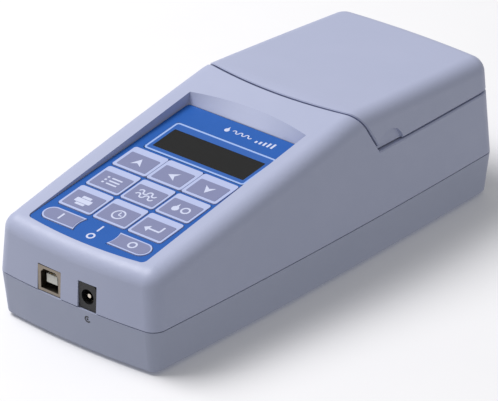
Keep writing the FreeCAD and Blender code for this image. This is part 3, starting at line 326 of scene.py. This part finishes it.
# %% [markdown]
# Circuit boards are glass-fibre laminate under a green solder mask.  Tracks
# raise the mask a little and lighten it.  A brick pattern with long narrow
# bricks, 1.6 mm apart, gives the lanes, and noise breaks them up.

# %% Circuit board laminate
board_laminate, tree, place = new_material("fibreglass_laminate_green_mask")
lanes = add(tree, "ShaderNodeTexBrick", {"Vector": place, "Color1": linear("#0F5A33"),
                                         "Color2": linear("#0C4F2C"), "Mortar": linear("#1A7A46"),
                                         "Scale": 1.0, "Mortar Size": 0.18 * mm, "Mortar Smooth": 0.1,
                                         "Brick Width": 7.5 * mm, "Row Height": 1.6 * mm})
weave = add(tree, "ShaderNodeTexNoise", {"Vector": place, "Scale": per_size(0.6), "Detail": 3.0})
tone = add(tree, "ShaderNodeMix", {"Factor": weave.outputs[0], 6: lanes.outputs[0],
                                   7: linear("#0A4527")}, data_type="RGBA")
relief = add(tree, "ShaderNodeBump", {"Strength": 0.4, "Distance": 0.03 * mm,
                                      "Height": lanes.outputs[1]})
finish_material(tree, {"Base Color": tone.outputs[2], "Roughness": 0.32, "Normal": relief.outputs[0],
                       "IOR": 1.55})
print("board:", board_laminate.name)

# %% [markdown]
# Several small parts need their own plastic.  White PBT insulates the USB
# contacts: it is dense, slightly warm and smooth.  The chips are black epoxy,
# moulded matt, and the power socket is black nylon.  The keypad circuit is an
# amber polyester film, and its spacer a white foam tape.  They differ only in
# colour, gloss, grain and IOR, so one function makes them all.

# %% Small plastics
def small_plastic(name, light_hex, dark_hex, gloss, grain_mm, ior):
    material, tree, place = new_material(name)
    grain = add(tree, "ShaderNodeTexNoise", {"Vector": place, "Scale": per_size(grain_mm), "Detail": 3.0})
    tone = add(tree, "ShaderNodeMix", {"Factor": grain.outputs[0], 6: linear(light_hex),
                                       7: linear(dark_hex)}, data_type="RGBA")
    satin = add(tree, "ShaderNodeMapRange", {0: grain.outputs[0], 3: gloss - 0.06, 4: gloss + 0.06})
    skin = add(tree, "ShaderNodeBump", {"Strength": 0.3, "Distance": 0.01 * mm,
                                        "Height": grain.outputs[0]})
    finish_material(tree, {"Base Color": tone.outputs[2], "Roughness": satin.outputs[0],
                           "Normal": skin.outputs[0], "IOR": ior})
    return material


white_pbt = small_plastic("pbt_moulded_white", "#E9E8E2", "#DEDDD6", 0.34, 0.6, 1.54)
chip_epoxy = small_plastic("epoxy_moulded_black", "#1D1D1F", "#28282B", 0.55, 0.3, 1.55)
jack_nylon = small_plastic("nylon_moulded_black", "#08080A", "#0F0F12", 0.5, 0.5, 1.53)
polyester = small_plastic("polyester_film_amber", "#C9B98A", "#BFAE7C", 0.25, 2.0, 1.57)
spacer_film = small_plastic("polyester_foam_tape_white", "#D5D6D2", "#C8C9C4", 0.6, 0.8, 1.5)
print("small plastics:", white_pbt.name, chip_epoxy.name, jack_nylon.name, polyester.name)

# %% [markdown]
# The display ribbon is grey PVC with a ridge for each wire, 1.27 mm apart.  A
# wave texture makes the ridges as a bump, and the same bands paint the crests
# lighter and the grooves darker: painted highlight and painted shade.  At scale 1
# its bands repeat every pi / 10, so that is what the wire spacing is worked out from.

# %% Ribbon cable
wave_period = math.pi / 10
ribbon_pvc, tree, place = new_material("pvc_extruded_ribbon_grey")
ridges_and_painted_shade = add(tree, "ShaderNodeTexWave", {"Vector": place, "Scale": wave_period * per_size(1.27),
                                         "Distortion": 0.0}, bands_direction="X")
# Painted highlight and shade: the ridge bands make the crests lighter and the grooves darker.
tone = add(tree, "ShaderNodeMix", {"Factor": ridges_and_painted_shade.outputs[1], 6: linear("#8D9094"),
                                   7: linear("#B5B8BC")}, data_type="RGBA")
ridge_bump = add(tree, "ShaderNodeBump", {"Strength": 0.8, "Distance": 0.2 * mm,
                                          "Height": ridges_and_painted_shade.outputs[1]})
finish_material(tree, {"Base Color": tone.outputs[2], "Roughness": 0.5, "Normal": ridge_bump.outputs[0],
                       "IOR": 1.53})
print("ribbon:", ribbon_pvc.name)

# %% [markdown]
# The four cells wear a shrunk plastic sleeve with a metallic print: dark blue
# for most of the length and copper at the positive end.  The print runs along
# each cell, which lies front to back, so a ramp on the Y coordinate of the
# battery's own box splits the two colours.  The bare ends of the cells are not
# told apart: they get the same finish.

# %% Battery sleeve
copper_from = 0.76
cells_low, cells_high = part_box("battery_cells")
cell_wrap, tree, place = new_material("shrink_sleeve_printed_metallic")
along = add(tree, "ShaderNodeSeparateXYZ", {0: place})
share = add(tree, "ShaderNodeMapRange", {0: along.outputs["Y"], 1: cells_low.y, 2: cells_high.y})
band = add(tree, "ShaderNodeValToRGB", {0: share.outputs[0]})
band.color_ramp.interpolation = "CONSTANT"
band.color_ramp.elements[0].color = linear("#26365A")
band.color_ramp.elements[1].position = copper_from
band.color_ramp.elements[1].color = linear("#B27C4C")
crease = add(tree, "ShaderNodeTexNoise", {"Vector": place, "Scale": per_size(3.0), "Detail": 3.0})
gloss = add(tree, "ShaderNodeMapRange", {0: crease.outputs[0], 3: 0.2, 4: 0.4})
shrink = add(tree, "ShaderNodeBump", {"Strength": 0.3, "Distance": 0.05 * mm,
                                      "Height": crease.outputs[0]})
finish_material(tree, {"Base Color": band.outputs[0], "Metallic": 0.6, "Roughness": gloss.outputs[0],
                       "Normal": shrink.outputs[0]})
print("cell sleeve splits at", round(cells_low.y + copper_from * (cells_high.y - cells_low.y), 4))

# %% [markdown]
# The filter in the light path is coated glass: it passes one colour and throws
# the rest back, so it looks violet.  The lamp is a clear epoxy dome over its
# chip, a little milky.  Both let light through, so both use transmission.

# %% Filter glass and lamp epoxy
def clear_solid(name, tint_hex, clouds_mm, smooth, cloudy, ior):
    material, tree, place = new_material(name)
    clouds = add(tree, "ShaderNodeTexNoise", {"Vector": place, "Scale": per_size(clouds_mm), "Detail": 2.0})
    haze = add(tree, "ShaderNodeMapRange", {0: clouds.outputs[0], 3: smooth, 4: cloudy})
    finish_material(tree, {"Base Color": linear(tint_hex), "Roughness": haze.outputs[0], "IOR": ior,
                           "Transmission Weight": 0.92})
    return material


filter_glass = clear_solid("glass_ground_violet_coating", "#A85F9C", 3.0, 0.02, 0.08, 1.52)
lamp_epoxy = clear_solid("epoxy_cast_clear_lamp", "#E8E6DC", 1.5, 0.08, 0.22, 1.54)
print("clear parts:", filter_glass.name, lamp_epoxy.name)

# %% [markdown]
# Now each part of the CAD model gets its finish.  Their meshes stay as they
# are: only the material in the first slot changes.  A part left out here would
# keep a plain flat colour, so the count is printed and must match.

# %% Finish every CAD part
finishes = {
    case_abs: ["upper_case", "lid_shell"],
    base_abs: ["lower_case", "battery_door"],
    black_abs: ["lid_liner", "optical_block", "display_bezel", "detector"],
    blue_film: ["overlay_panel"],
    key_film: [name for name in nodes if name.startswith("key_")],
    smoked_acrylic: ["display_window"],
    lcd_glass: ["display_glass"],
    dull_nickel: ["usb_shell"],
    nickel: ["battery_contacts", "dc_jack_contacts", "snap_domes"],
    gold_flash: ["usb_contacts"],
    bright_steel: ["hinge_pin"],
    zinc: ["case_screws", "display_screws", "main_board_screws", "block_screws"],
    foot_rubber: ["feet"],
    foam_rubber: ["well_gasket"],
    board_laminate: ["display_board", "connector_board", "main_board", "detector_board", "lamp_board"],
    white_pbt: ["usb_insulator", "board_link"],
    chip_epoxy: ["main_board_parts"],
    jack_nylon: ["dc_jack_body"],
    polyester: ["keypad_circuit"],
    spacer_film: ["keypad_spacer"],
    ribbon_pvc: ["display_ribbon"],
    cell_wrap: ["battery_cells"],
    filter_glass: ["optical_filter"],
    lamp_epoxy: ["lamp"],
}
finished = set()
for material, names in finishes.items():
    for name in names:
        nodes[name].data.materials.clear()
        nodes[name].data.materials.append(material)
        finished.add(name)
print("finished", len(finished), "of", len(nodes), "left out:", sorted(set(nodes) - finished))

# %% [markdown]
# Printed marks lie on the sloping panel, so they are drawn flat, with X across
# and Y up the slope, and then laid on it.  The frame tells how the panel leans:
# a key is pressed straight into it, so the opposite of a key's joint axis is
# the way the panel faces.  The dial between the two power keys marks a known
# point on it.

# %% The panel's own directions
clock_joint = next(joint for joint in frame["joints"] if joint["child"] == "key_clock")
across = Vector((1, 0, 0))
out = -Vector(clock_joint["axis"]).normalized()
up_slope = out.cross(across)
key_thickness = 1.10 * mm
key_rise = 0.35 * mm


def centre_of(name):
    """The middle of a CAD part's box."""
    low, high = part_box(name)
    return (low + high) / 2


def lay_on_panel(point):
    """The placing that lays a flat drawing on the panel slope with its origin at point."""
    turn = Matrix((across, up_slope, out)).transposed().to_4x4()
    return Matrix.Translation(point) @ turn


def key_top(name, shift_up=0.0):
    """The placing on a key's face, moved up the slope by shift_up."""
    return lay_on_panel(centre_of(name) + out * key_thickness / 2 + up_slope * shift_up)


dial_centre = (centre_of("key_on") + centre_of("key_off")) / 2 + out * (key_thickness / 2 - key_rise)
print("panel faces", [round(value, 3) for value in out], "dial at", [round(v, 4) for v in dial_centre])

# %% [markdown]
# Every printed mark is a sheet with a real thickness: ink 0.04 mm, the
# embossed key faces 0.12 mm.  The flat shape is drawn first, and then this
# helper extrudes it, sinks it a hair into the surface so that no two faces lie
# in one plane, gives it its finish, and lets it ride on its part.

# %% Turn a flat drawing into a printed piece
ink_height = 0.04 * mm
ink_sink = 0.02 * mm
sharp_edge = 1.0  # radians


def print_on(name, drawing, placing, body, finish, height=ink_height, soften=0.0):
    """Extrude the flat faces in drawing, place them and ride them on a body."""
    base = drawing.faces[:]
    raised = bmesh.ops.extrude_face_region(drawing, geom=base)["geom"]
    top = [part for part in raised if isinstance(part, bmesh.types.BMVert)]
    bmesh.ops.translate(drawing, verts=top, vec=(0, 0, height + ink_sink))
    bmesh.ops.recalc_face_normals(drawing, faces=drawing.faces)
    if soften:
        rims = [edge for edge in drawing.edges
                if all(vert.co.z > height for vert in edge.verts)
                and edge.is_manifold and edge.calc_face_angle() > sharp_edge]
        bmesh.ops.bevel(drawing, geom=rims, offset=soften, segments=2, profile=0.5, affect="EDGES",
                        material=-1)
    bmesh.ops.transform(drawing, matrix=placing @ Matrix.Translation((0, 0, -ink_sink)),
                        verts=drawing.verts)
    mesh = bpy.data.meshes.new(name)
    drawing.to_mesh(mesh)
    drawing.free()
    mesh.materials.append(finish)
    piece = bpy.data.objects.new(name, mesh)
    bpy.context.scene.collection.objects.link(piece)
    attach(piece, body)


print("ink stands", ink_height / mm, "mm proud")

# %% [markdown]
# A rounded rectangle starts as a grid of one square, scaled to size, and its
# four corners are bevelled as vertices.  A frame needs a hole as well: two such
# loops, one inside the other, are joined by bridging their edges.

# %% Rounded sheets, frames and polygons
def rounded_sheet(drawing, width, length, corner, centre=(0, 0)):
    """Add a rounded rectangle; sizes in millimetres."""
    made = bmesh.ops.create_grid(drawing, x_segments=1, y_segments=1, size=0.5)["verts"]
    bmesh.ops.scale(drawing, verts=made, vec=(width * mm, length * mm, 1))
    if corner:
        faces = {face for vert in made for face in vert.link_faces}
        made = bmesh.ops.bevel(drawing, geom=made, offset=corner * mm, segments=6, profile=0.5,
                               affect="VERTICES", material=-1)["verts"]
        made = list({vert for face in drawing.faces for vert in face.verts
                     if vert in made or face in faces})
    bmesh.ops.translate(drawing, verts=made, vec=(centre[0] * mm, centre[1] * mm, 0))
    return made


def frame_sheet(drawing, outer, inner, shift=(0, 0)):
    """Add a frame between two rounded rectangles, each (width, length, corner) in millimetres."""
    rims = []
    for (width, length, corner), centre in ((outer, (0, 0)), (inner, shift)):
        made = rounded_sheet(drawing, width, length, corner, centre)
        faces = list({face for vert in made for face in vert.link_faces})
        rims += [edge for face in faces for edge in face.edges]
        bmesh.ops.delete(drawing, geom=faces, context="FACES_ONLY")
    bmesh.ops.bridge_loops(drawing, edges=rims)


def polygon(drawing, corners):
    """Add one flat face from a few corners in millimetres."""
    verts = [drawing.verts.new((x * mm, y * mm, 0)) for x, y in corners]
    drawing.faces.new(verts)


trial = bmesh.new()
rounded_sheet(trial, 10, 5, 1)
print("a rounded sheet has", len(trial.verts), "corners and", len(trial.faces), "face")
trial.free()

# %% [markdown]
# Curved strokes are spun.  A short edge across the stroke turns about the arc's
# centre and leaves a band of faces behind it.  For a whole ring the last step
# meets the first, so the spin is told to merge them.  Two signs share a wave of
# half rings and a water drop, so these are functions as well.

# %% Arcs, rings, waves and drops
def arc_band(drawing, radius, line, start_deg, sweep_deg, centre=(0, 0), steps=20):
    """Add a curved stroke; sizes in millimetres, angles in degrees."""
    pivot = Vector((centre[0] * mm, centre[1] * mm, 0))
    ray = Matrix.Rotation(math.radians(start_deg), 3, "Z") @ Vector((mm, 0, 0))
    inner = drawing.verts.new(pivot + ray * (radius - line / 2))
    outer = drawing.verts.new(pivot + ray * (radius + line / 2))
    stroke = drawing.edges.new((inner, outer))
    whole = abs(sweep_deg) >= 360
    bmesh.ops.spin(drawing, geom=[inner, outer, stroke], cent=pivot, axis=(0, 0, 1), dvec=(0, 0, 0),
                   angle=math.radians(sweep_deg), steps=steps, use_merge=whole, use_duplicate=False)


def wave_band(drawing, radius, line, first_x, count, up=0.0):
    """Add a wave of half rings, every other one turned over; sizes in millimetres."""
    for number in range(count):
        sweep_deg = -180 if number % 2 == 0 else 180
        arc_band(drawing, radius, line, 180, sweep_deg, (first_x + 2 * radius * number, up), 10)


def water_drop(drawing, radius, tip_rise, centre):
    """Add a disc with its top drawn out to a tip; sizes in millimetres."""
    rim = bmesh.ops.create_circle(drawing, cap_ends=True, radius=radius * mm, segments=16)["verts"]
    tip = max(rim, key=lambda vert: vert.co.y)
    bmesh.ops.translate(drawing, verts=[tip], vec=(0, tip_rise * mm, 0))
    bmesh.ops.translate(drawing, verts=rim, vec=(centre[0] * mm, centre[1] * mm, 0))


trial = bmesh.new()
arc_band(trial, 2, 0.5, 0, 360)
print("a ring has", len(trial.faces), "faces; open edges:",
      sum(edge.is_boundary for edge in trial.edges))
trial.free()

# %% [markdown]
# Each function key is a white embossed film with a grey face printed on it.
# The white shows as a border, wider at the back because the embossing leans
# forward.  The grey face is 15 by about 10 mm, with its rim softened so that it
# catches a thin line of light.

# %% Grey faces of the keys
function_keys = ["key_recall", "key_mode", "key_zero_test", "key_print", "key_clock", "key_enter"]
arrow_keys = ["key_arrow_up", "key_arrow_left", "key_arrow_down"]
face_shift = -1.1 * mm
emboss = 0.12 * mm
soft_rim = 0.05 * mm
face_width = 15.0
face_corner = 0.6
for names, face_length in ((function_keys, 10.1), (arrow_keys, 9.7)):
    for name in names:
        face = bmesh.new()
        rounded_sheet(face, face_width, face_length, face_corner)
        print_on(name + "_face", face, key_top(name, face_shift), name, grey_film, height=emboss,
                 soften=soft_rim)
print("grey faces on", len(function_keys) + len(arrow_keys), "keys")

# %% [markdown]
# The white signs lie on the grey faces, so they start from its height.  The
# arrows are notched pointers, four corners each.  The three point up, left and
# down: one shape, drawn pointing up and turned.

# %% Arrow signs
def sign_on(name, drawing):
    """Print a white sign on the grey face of a key."""
    placing = key_top(name, face_shift) @ Matrix.Translation((0, 0, emboss))
    print_on(name + "_sign", drawing, placing, name, white_ink)


for name, turn_deg in zip(arrow_keys, (0, 90, 180)):
    pointer = bmesh.new()
    polygon(pointer, [(0.0, 2.5), (-2.6, -2.2), (0.0, -0.7), (2.6, -2.2)])
    bmesh.ops.rotate(pointer, verts=pointer.verts, cent=(0, 0, 0),
                     matrix=Matrix.Rotation(math.radians(turn_deg), 3, "Z"))
    sign_on(name, pointer)
print("pointers on", arrow_keys)

# %% [markdown]
# The six function keys get plain picture signs instead of words.  Each is drawn
# from a few bars, rings and dots about 8 mm wide: a list for stored results, two
# waves for the kind of water, a drop beside a ring for zero and test, a sheet in
# a printer, a clock, and the bent arrow of an enter key.

# %% Signs of the first row of function keys
drawing = bmesh.new()
for line_up in (1.9, 0.0, -1.9):
    rounded_sheet(drawing, 5.4, 0.8, 0.3, (1.5, line_up))
    rounded_sheet(drawing, 1.1, 1.0, 0.3, (-3.0, line_up))
sign_on("key_recall", drawing)

drawing = bmesh.new()
for wave_up in (1.2, -1.2):
    wave_band(drawing, 1.1, 0.7, -3.3, 4, wave_up)
sign_on("key_mode", drawing)

drawing = bmesh.new()
water_drop(drawing, 1.6, 1.9, (-2.4, -0.7))
arc_band(drawing, 1.75, 0.8, 0, 360, (2.3, 0))
sign_on("key_zero_test", drawing)
print("first row of signs done")

# %% [markdown]
# The second row is built the same way: the printer is a wide bar with its sheet
# above and below, the clock has its hands at three, and the enter arrow is two
# bars and a triangle.

# %% Signs of the second row of function keys
drawing = bmesh.new()
rounded_sheet(drawing, 8.0, 2.6, 0.5, (0, -0.4))
rounded_sheet(drawing, 4.6, 1.5, 0.2, (0, 1.9))
rounded_sheet(drawing, 4.6, 1.3, 0.2, (0, -2.6))
sign_on("key_print", drawing)

drawing = bmesh.new()
arc_band(drawing, 2.7, 0.7, 0, 360)
rounded_sheet(drawing, 0.6, 2.0, 0.2, (0, 0.8))
rounded_sheet(drawing, 1.7, 0.6, 0.2, (0.9, -0.3))
sign_on("key_clock", drawing)

drawing = bmesh.new()
rounded_sheet(drawing, 5.6, 0.9, 0.2, (0.9, -0.8))
rounded_sheet(drawing, 0.9, 3.2, 0.2, (3.5, 1.2))
polygon(drawing, [(-1.8, 1.2), (-4.2, -0.8), (-1.8, -2.8)])
sign_on("key_enter", drawing)
print("second row of signs done")

# %% [markdown]
# The on and off keys are pills whose inner ends are hollowed to fit round the
# dial.  Their outline is made from two arcs: one vertex is spun half round the
# outer end, another along the hollow, and the two strings of edges are joined
# and filled.  The off key is the on key mirrored.

# %% Grey faces and signs of the power keys
def spun_arc(drawing, start, pivot, angle_deg, steps):
    """Spin one vertex into a string of edges and return its two ends."""
    first = drawing.verts.new((start[0] * mm, start[1] * mm, 0))
    result = bmesh.ops.spin(drawing, geom=[first], cent=(pivot[0] * mm, pivot[1] * mm, 0),
                            axis=(0, 0, 1), dvec=(0, 0, 0), angle=math.radians(angle_deg),
                            steps=steps, use_duplicate=False)["geom_last"]
    last = [part for part in result if isinstance(part, bmesh.types.BMVert)][0]
    return first, last


key_half_height = 4.1
key_half_span = 27.4
dial_radius = 9.4
white_border = 0.7
sign_offset = 18.6
pill_half = key_half_height - white_border
pill_end = key_half_span - key_half_height
hollow = dial_radius + white_border
hollow_x = math.sqrt(hollow ** 2 - pill_half ** 2)
hollow_deg = math.degrees(math.asin(pill_half / hollow))
dial_on_keys = lay_on_panel(dial_centre + out * key_rise)
for name, side in (("key_on", -1), ("key_off", 1)):
    pill = bmesh.new()
    low, high = spun_arc(pill, (pill_end, -pill_half), (pill_end, 0), 180, 18)
    near_high, near_low = spun_arc(pill, (hollow_x, pill_half), (0, 0), -2 * hollow_deg, 12)
    pill.edges.new((high, near_high))
    pill.edges.new((near_low, low))
    bmesh.ops.contextual_create(pill, geom=pill.edges[:])
    bmesh.ops.scale(pill, verts=pill.verts, vec=(side, 1, 1))
    bmesh.ops.recalc_face_normals(pill, faces=pill.faces)
    for face in pill.faces:
        if face.normal.z < 0:
            face.normal_flip()
    print_on(name + "_face", pill, dial_on_keys, name, grey_film, height=emboss, soften=soft_rim)

sign_place = dial_on_keys @ Matrix.Translation((0, 0, emboss))
drawing = bmesh.new()
rounded_sheet(drawing, 0.9, 4.0, 0.3, (-sign_offset, 0))
print_on("key_on_sign", drawing, sign_place, "key_on", white_ink)
drawing = bmesh.new()
arc_band(drawing, 1.7, 0.8, 0, 360, (sign_offset, 0))
print_on("key_off_sign", drawing, sign_place, "key_off", white_ink)
print("power keys: hollow from", round(hollow_x, 2), "mm, half angle", round(hollow_deg, 1))

# %% [markdown]
# Between the power keys the film carries the usual power sign, here a ring with
# a line above it, printed straight on the blue.

# %% Power sign on the dial
drawing = bmesh.new()
arc_band(drawing, 1.5, 0.8, 0, 360, (0, -3.5))
rounded_sheet(drawing, 0.8, 4.0, 0.2, (0, 2.1))
print_on("dial_sign", drawing, lay_on_panel(dial_centre), "case", white_ink)
print("dial sign printed")

# %% [markdown]
# The window is a smoked plate with printing round its edge: first a pale blue
# line 0.9 mm wide, then blue up to the dark opening.  Both are frames on the
# window's face, which is level with the film.  The opening is not quite in the
# middle, so the inner loop is shifted.

# %% Frame round the display
window_face_rise = 1.0
window_face = lay_on_panel(centre_of("display_window") + out * window_face_rise * mm)
drawing = bmesh.new()
frame_sheet(drawing, (52.2, 21.1, 1.9), (47.4, 13.8, 0.4), (0, -0.8))
print_on("display_mask", drawing, window_face, "case", blue_ink)
drawing = bmesh.new()
frame_sheet(drawing, (52.2, 21.1, 1.6), (50.4, 19.3, 0.8))
print_on("display_line", drawing, window_face @ Matrix.Translation((0, 0, ink_height)), "case",
         pale_blue_ink)
print("display frame printed")

# %% [markdown]
# Above the display the film carries a small heading.  Here it is a plain row of
# signs: a drop, a wave, and a scale of rising bars, about 3.5 mm high.  Its
# distance from the dial is known level, front to back, and the cosine of the
# panel's lean turns that into a distance up the slope.

# %% Heading on the film
heading_distance = 97.5
dial_distance = 15.4
heading_drop = 0.4
up_to_heading = (heading_distance - dial_distance) / math.cos(panel_lean) - heading_drop
heading = lay_on_panel(dial_centre + up_slope * up_to_heading * mm)
drawing = bmesh.new()
water_drop(drawing, 1.15, 1.3, (-4.2, -0.5))
wave_band(drawing, 0.8, 0.5, -0.6, 6)
for number in range(5):
    tall = 1.4 + 0.5 * number
    rounded_sheet(drawing, 1.0, tall, 0.2, (11.5 + 2.0 * number, tall / 2 - 1.7))
print_on("heading_signs", drawing, heading, "case", white_ink)
print("heading at", [round(value, 4) for value in heading.translation])

# %% [markdown]
# The case is curved and drafted, so a mark on it must find the surface first.
# A ray is shot at the CAD part, and the point and facing of the face it hits
# give the placing.  The polarity sign under the power socket is a dot inside
# an open ring, 3 mm across.

# %% Polarity sign under the power socket
def place_on(name, start, direction, up):
    """The placing on the surface that a ray from start hits, with Y along up."""
    faces = BVHTree.FromObject(nodes[name], bpy.context.evaluated_depsgraph_get())
    point, normal, _, _ = faces.ray_cast(Vector(start), Vector(direction))
    side = Vector(up).cross(normal).normalized()
    turn = Matrix((side, normal.cross(side), normal)).transposed().to_4x4()
    return Matrix.Translation(point) @ turn


jack_low, jack_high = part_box("dc_jack_body")
jack_x = (jack_low.x + jack_high.x) / 2
clear_of_case = 10 * mm
sign_drop = 4.2 * mm
start = (jack_x, cad_low.y - clear_of_case, jack_low.z - sign_drop)
under_jack = place_on("lower_case", start, (0, 1, 0), (0, 0, 1))
drawing = bmesh.new()
arc_band(drawing, 1.2, 0.62, 60, 270, (0, 0), 18)
bmesh.ops.create_circle(drawing, cap_ends=True, radius=0.5 * mm, segments=14)
print_on("polarity_sign", drawing, under_jack, "case", dark_ink)
print("polarity sign at", [round(value, 4) for value in under_jack.translation])

# %% [markdown]
# With the lid open, a white triangle on the deck shows which way round a vial
# goes into the well, so that its mark always faces the same way.  It lies in
# front of the well.

# %% Alignment mark by the well
gasket_low, gasket_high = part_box("well_gasket")
well_y = (gasket_low.y + gasket_high.y) / 2
mark_gap = 4.0 * mm
deck_spot = place_on("upper_case", (0, gasket_low.y - mark_gap, cad_high.z), (0, 0, -1), (0, 1, 0))
drawing = bmesh.new()
polygon(drawing, [(-1.8, -1.4), (1.8, -1.4), (0, 1.7)])
print_on("well_mark", drawing, deck_spot, "case", white_ink)
print("well mark at", [round(value, 4) for value in deck_spot.translation], "well y", round(well_y, 4))

# %% [markdown]
# The object stands on a plain near-white floor, large enough to fill the view,
# with a soft matt finish.  It is marked as the stage, so it isn't part of the
# object.

# %% Floor
floor_mesh = bpy.data.meshes.new("floor")
drawing = bmesh.new()
bmesh.ops.create_grid(drawing, x_segments=1, y_segments=1, size=6.0)
drawing.to_mesh(floor_mesh)
drawing.free()
floor = bpy.data.objects.new("floor", floor_mesh)
bpy.context.scene.collection.objects.link(floor)
paper, tree, place = new_material("paper_matt_white")
fibres = add(tree, "ShaderNodeTexNoise", {"Vector": place, "Scale": per_size(40.0), "Detail": 3.0})
tone = add(tree, "ShaderNodeMix", {"Factor": fibres.outputs[0], 6: linear("#FAFAFB"),
                                   7: linear("#F7F7F9")}, data_type="RGBA")
finish_material(tree, {"Base Color": tone.outputs[2], "Roughness": 0.9, "IOR": 1.45})
floor_mesh.materials.append(paper)
floor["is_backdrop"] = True
print("floor is", round(floor.dimensions.x, 1), "m wide")

# %% [markdown]
# A product like this is shown in soft light: one big soft box overhead, a
# little to the front left, keeps the top brightest and leaves the right side in
# gentle shade.  A pale world fills the shadows.  The floor is hidden from
# diffuse rays, so the sides and the underside get the even light of the world
# instead of what the floor would throw back.  Lamps are aimed by turning their
# own -Z towards the object.

# %% Studio light
def soft_box(name, place, aim, size, watts, tint):
    lamp = bpy.data.lights.new(name, "AREA")
    lamp.shape = "RECTANGLE"
    lamp.size, lamp.size_y = size
    lamp.energy = watts
    lamp.color = tint
    box = bpy.data.objects.new(name, lamp)
    box.location = place
    box.rotation_euler = (Vector(aim) - Vector(place)).to_track_quat("-Z", "Y").to_euler()
    bpy.context.scene.collection.objects.link(box)


soft_box("key_light", (-0.75, -0.45, 1.5), (0, 0, 0.03), (1.1, 0.9), 24.5, (1.0, 0.99, 1.0))
floor.visible_diffuse = False
world = bpy.data.worlds.new("pale_studio")
world.use_nodes = True
world.node_tree.nodes["Background"].inputs["Color"].default_value = linear("#FFFFFF")
world.node_tree.nodes["Background"].inputs["Strength"].default_value = 0.41
bpy.context.scene.world = world
bpy.context.scene.view_settings.view_transform = "Standard"
print("lights placed")

# %% [markdown]
# The camera looks from the front right and above with a long lens, so the
# edges stay nearly parallel.  It is placed on a line from the point it looks at,
# by compass angle, height angle and distance.

# %% Camera
azimuth, elevation, reach = math.radians(40.744), math.radians(27.051), 1.7112
target = Vector((0.001857, -0.006889, 0.025360))
away = Vector((math.cos(elevation) * math.sin(azimuth), -math.cos(elevation) * math.cos(azimuth),
               math.sin(elevation)))
camera_data = bpy.data.cameras.new("camera")
camera_data.sensor_width = 36.0
camera_data.lens = 308.94
camera = bpy.data.objects.new("camera", camera_data)
camera.location = target + away * reach
camera.rotation_euler = (math.pi / 2 - elevation, 0, azimuth)
bpy.context.scene.collection.objects.link(camera)
bpy.context.scene.camera = camera
print("camera at", [round(value, 4) for value in camera.location])

# %% [markdown]
# At the end the dressed model's box is printed, to set beside the CAD model's
# own, printed at the start.  They should agree, because print is far thinner
# than a millimetre.

# %% Sizes and finish
low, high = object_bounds()
print("visual size in mm", [round((b - a) / mm, 2) for a, b in zip(low, high)])
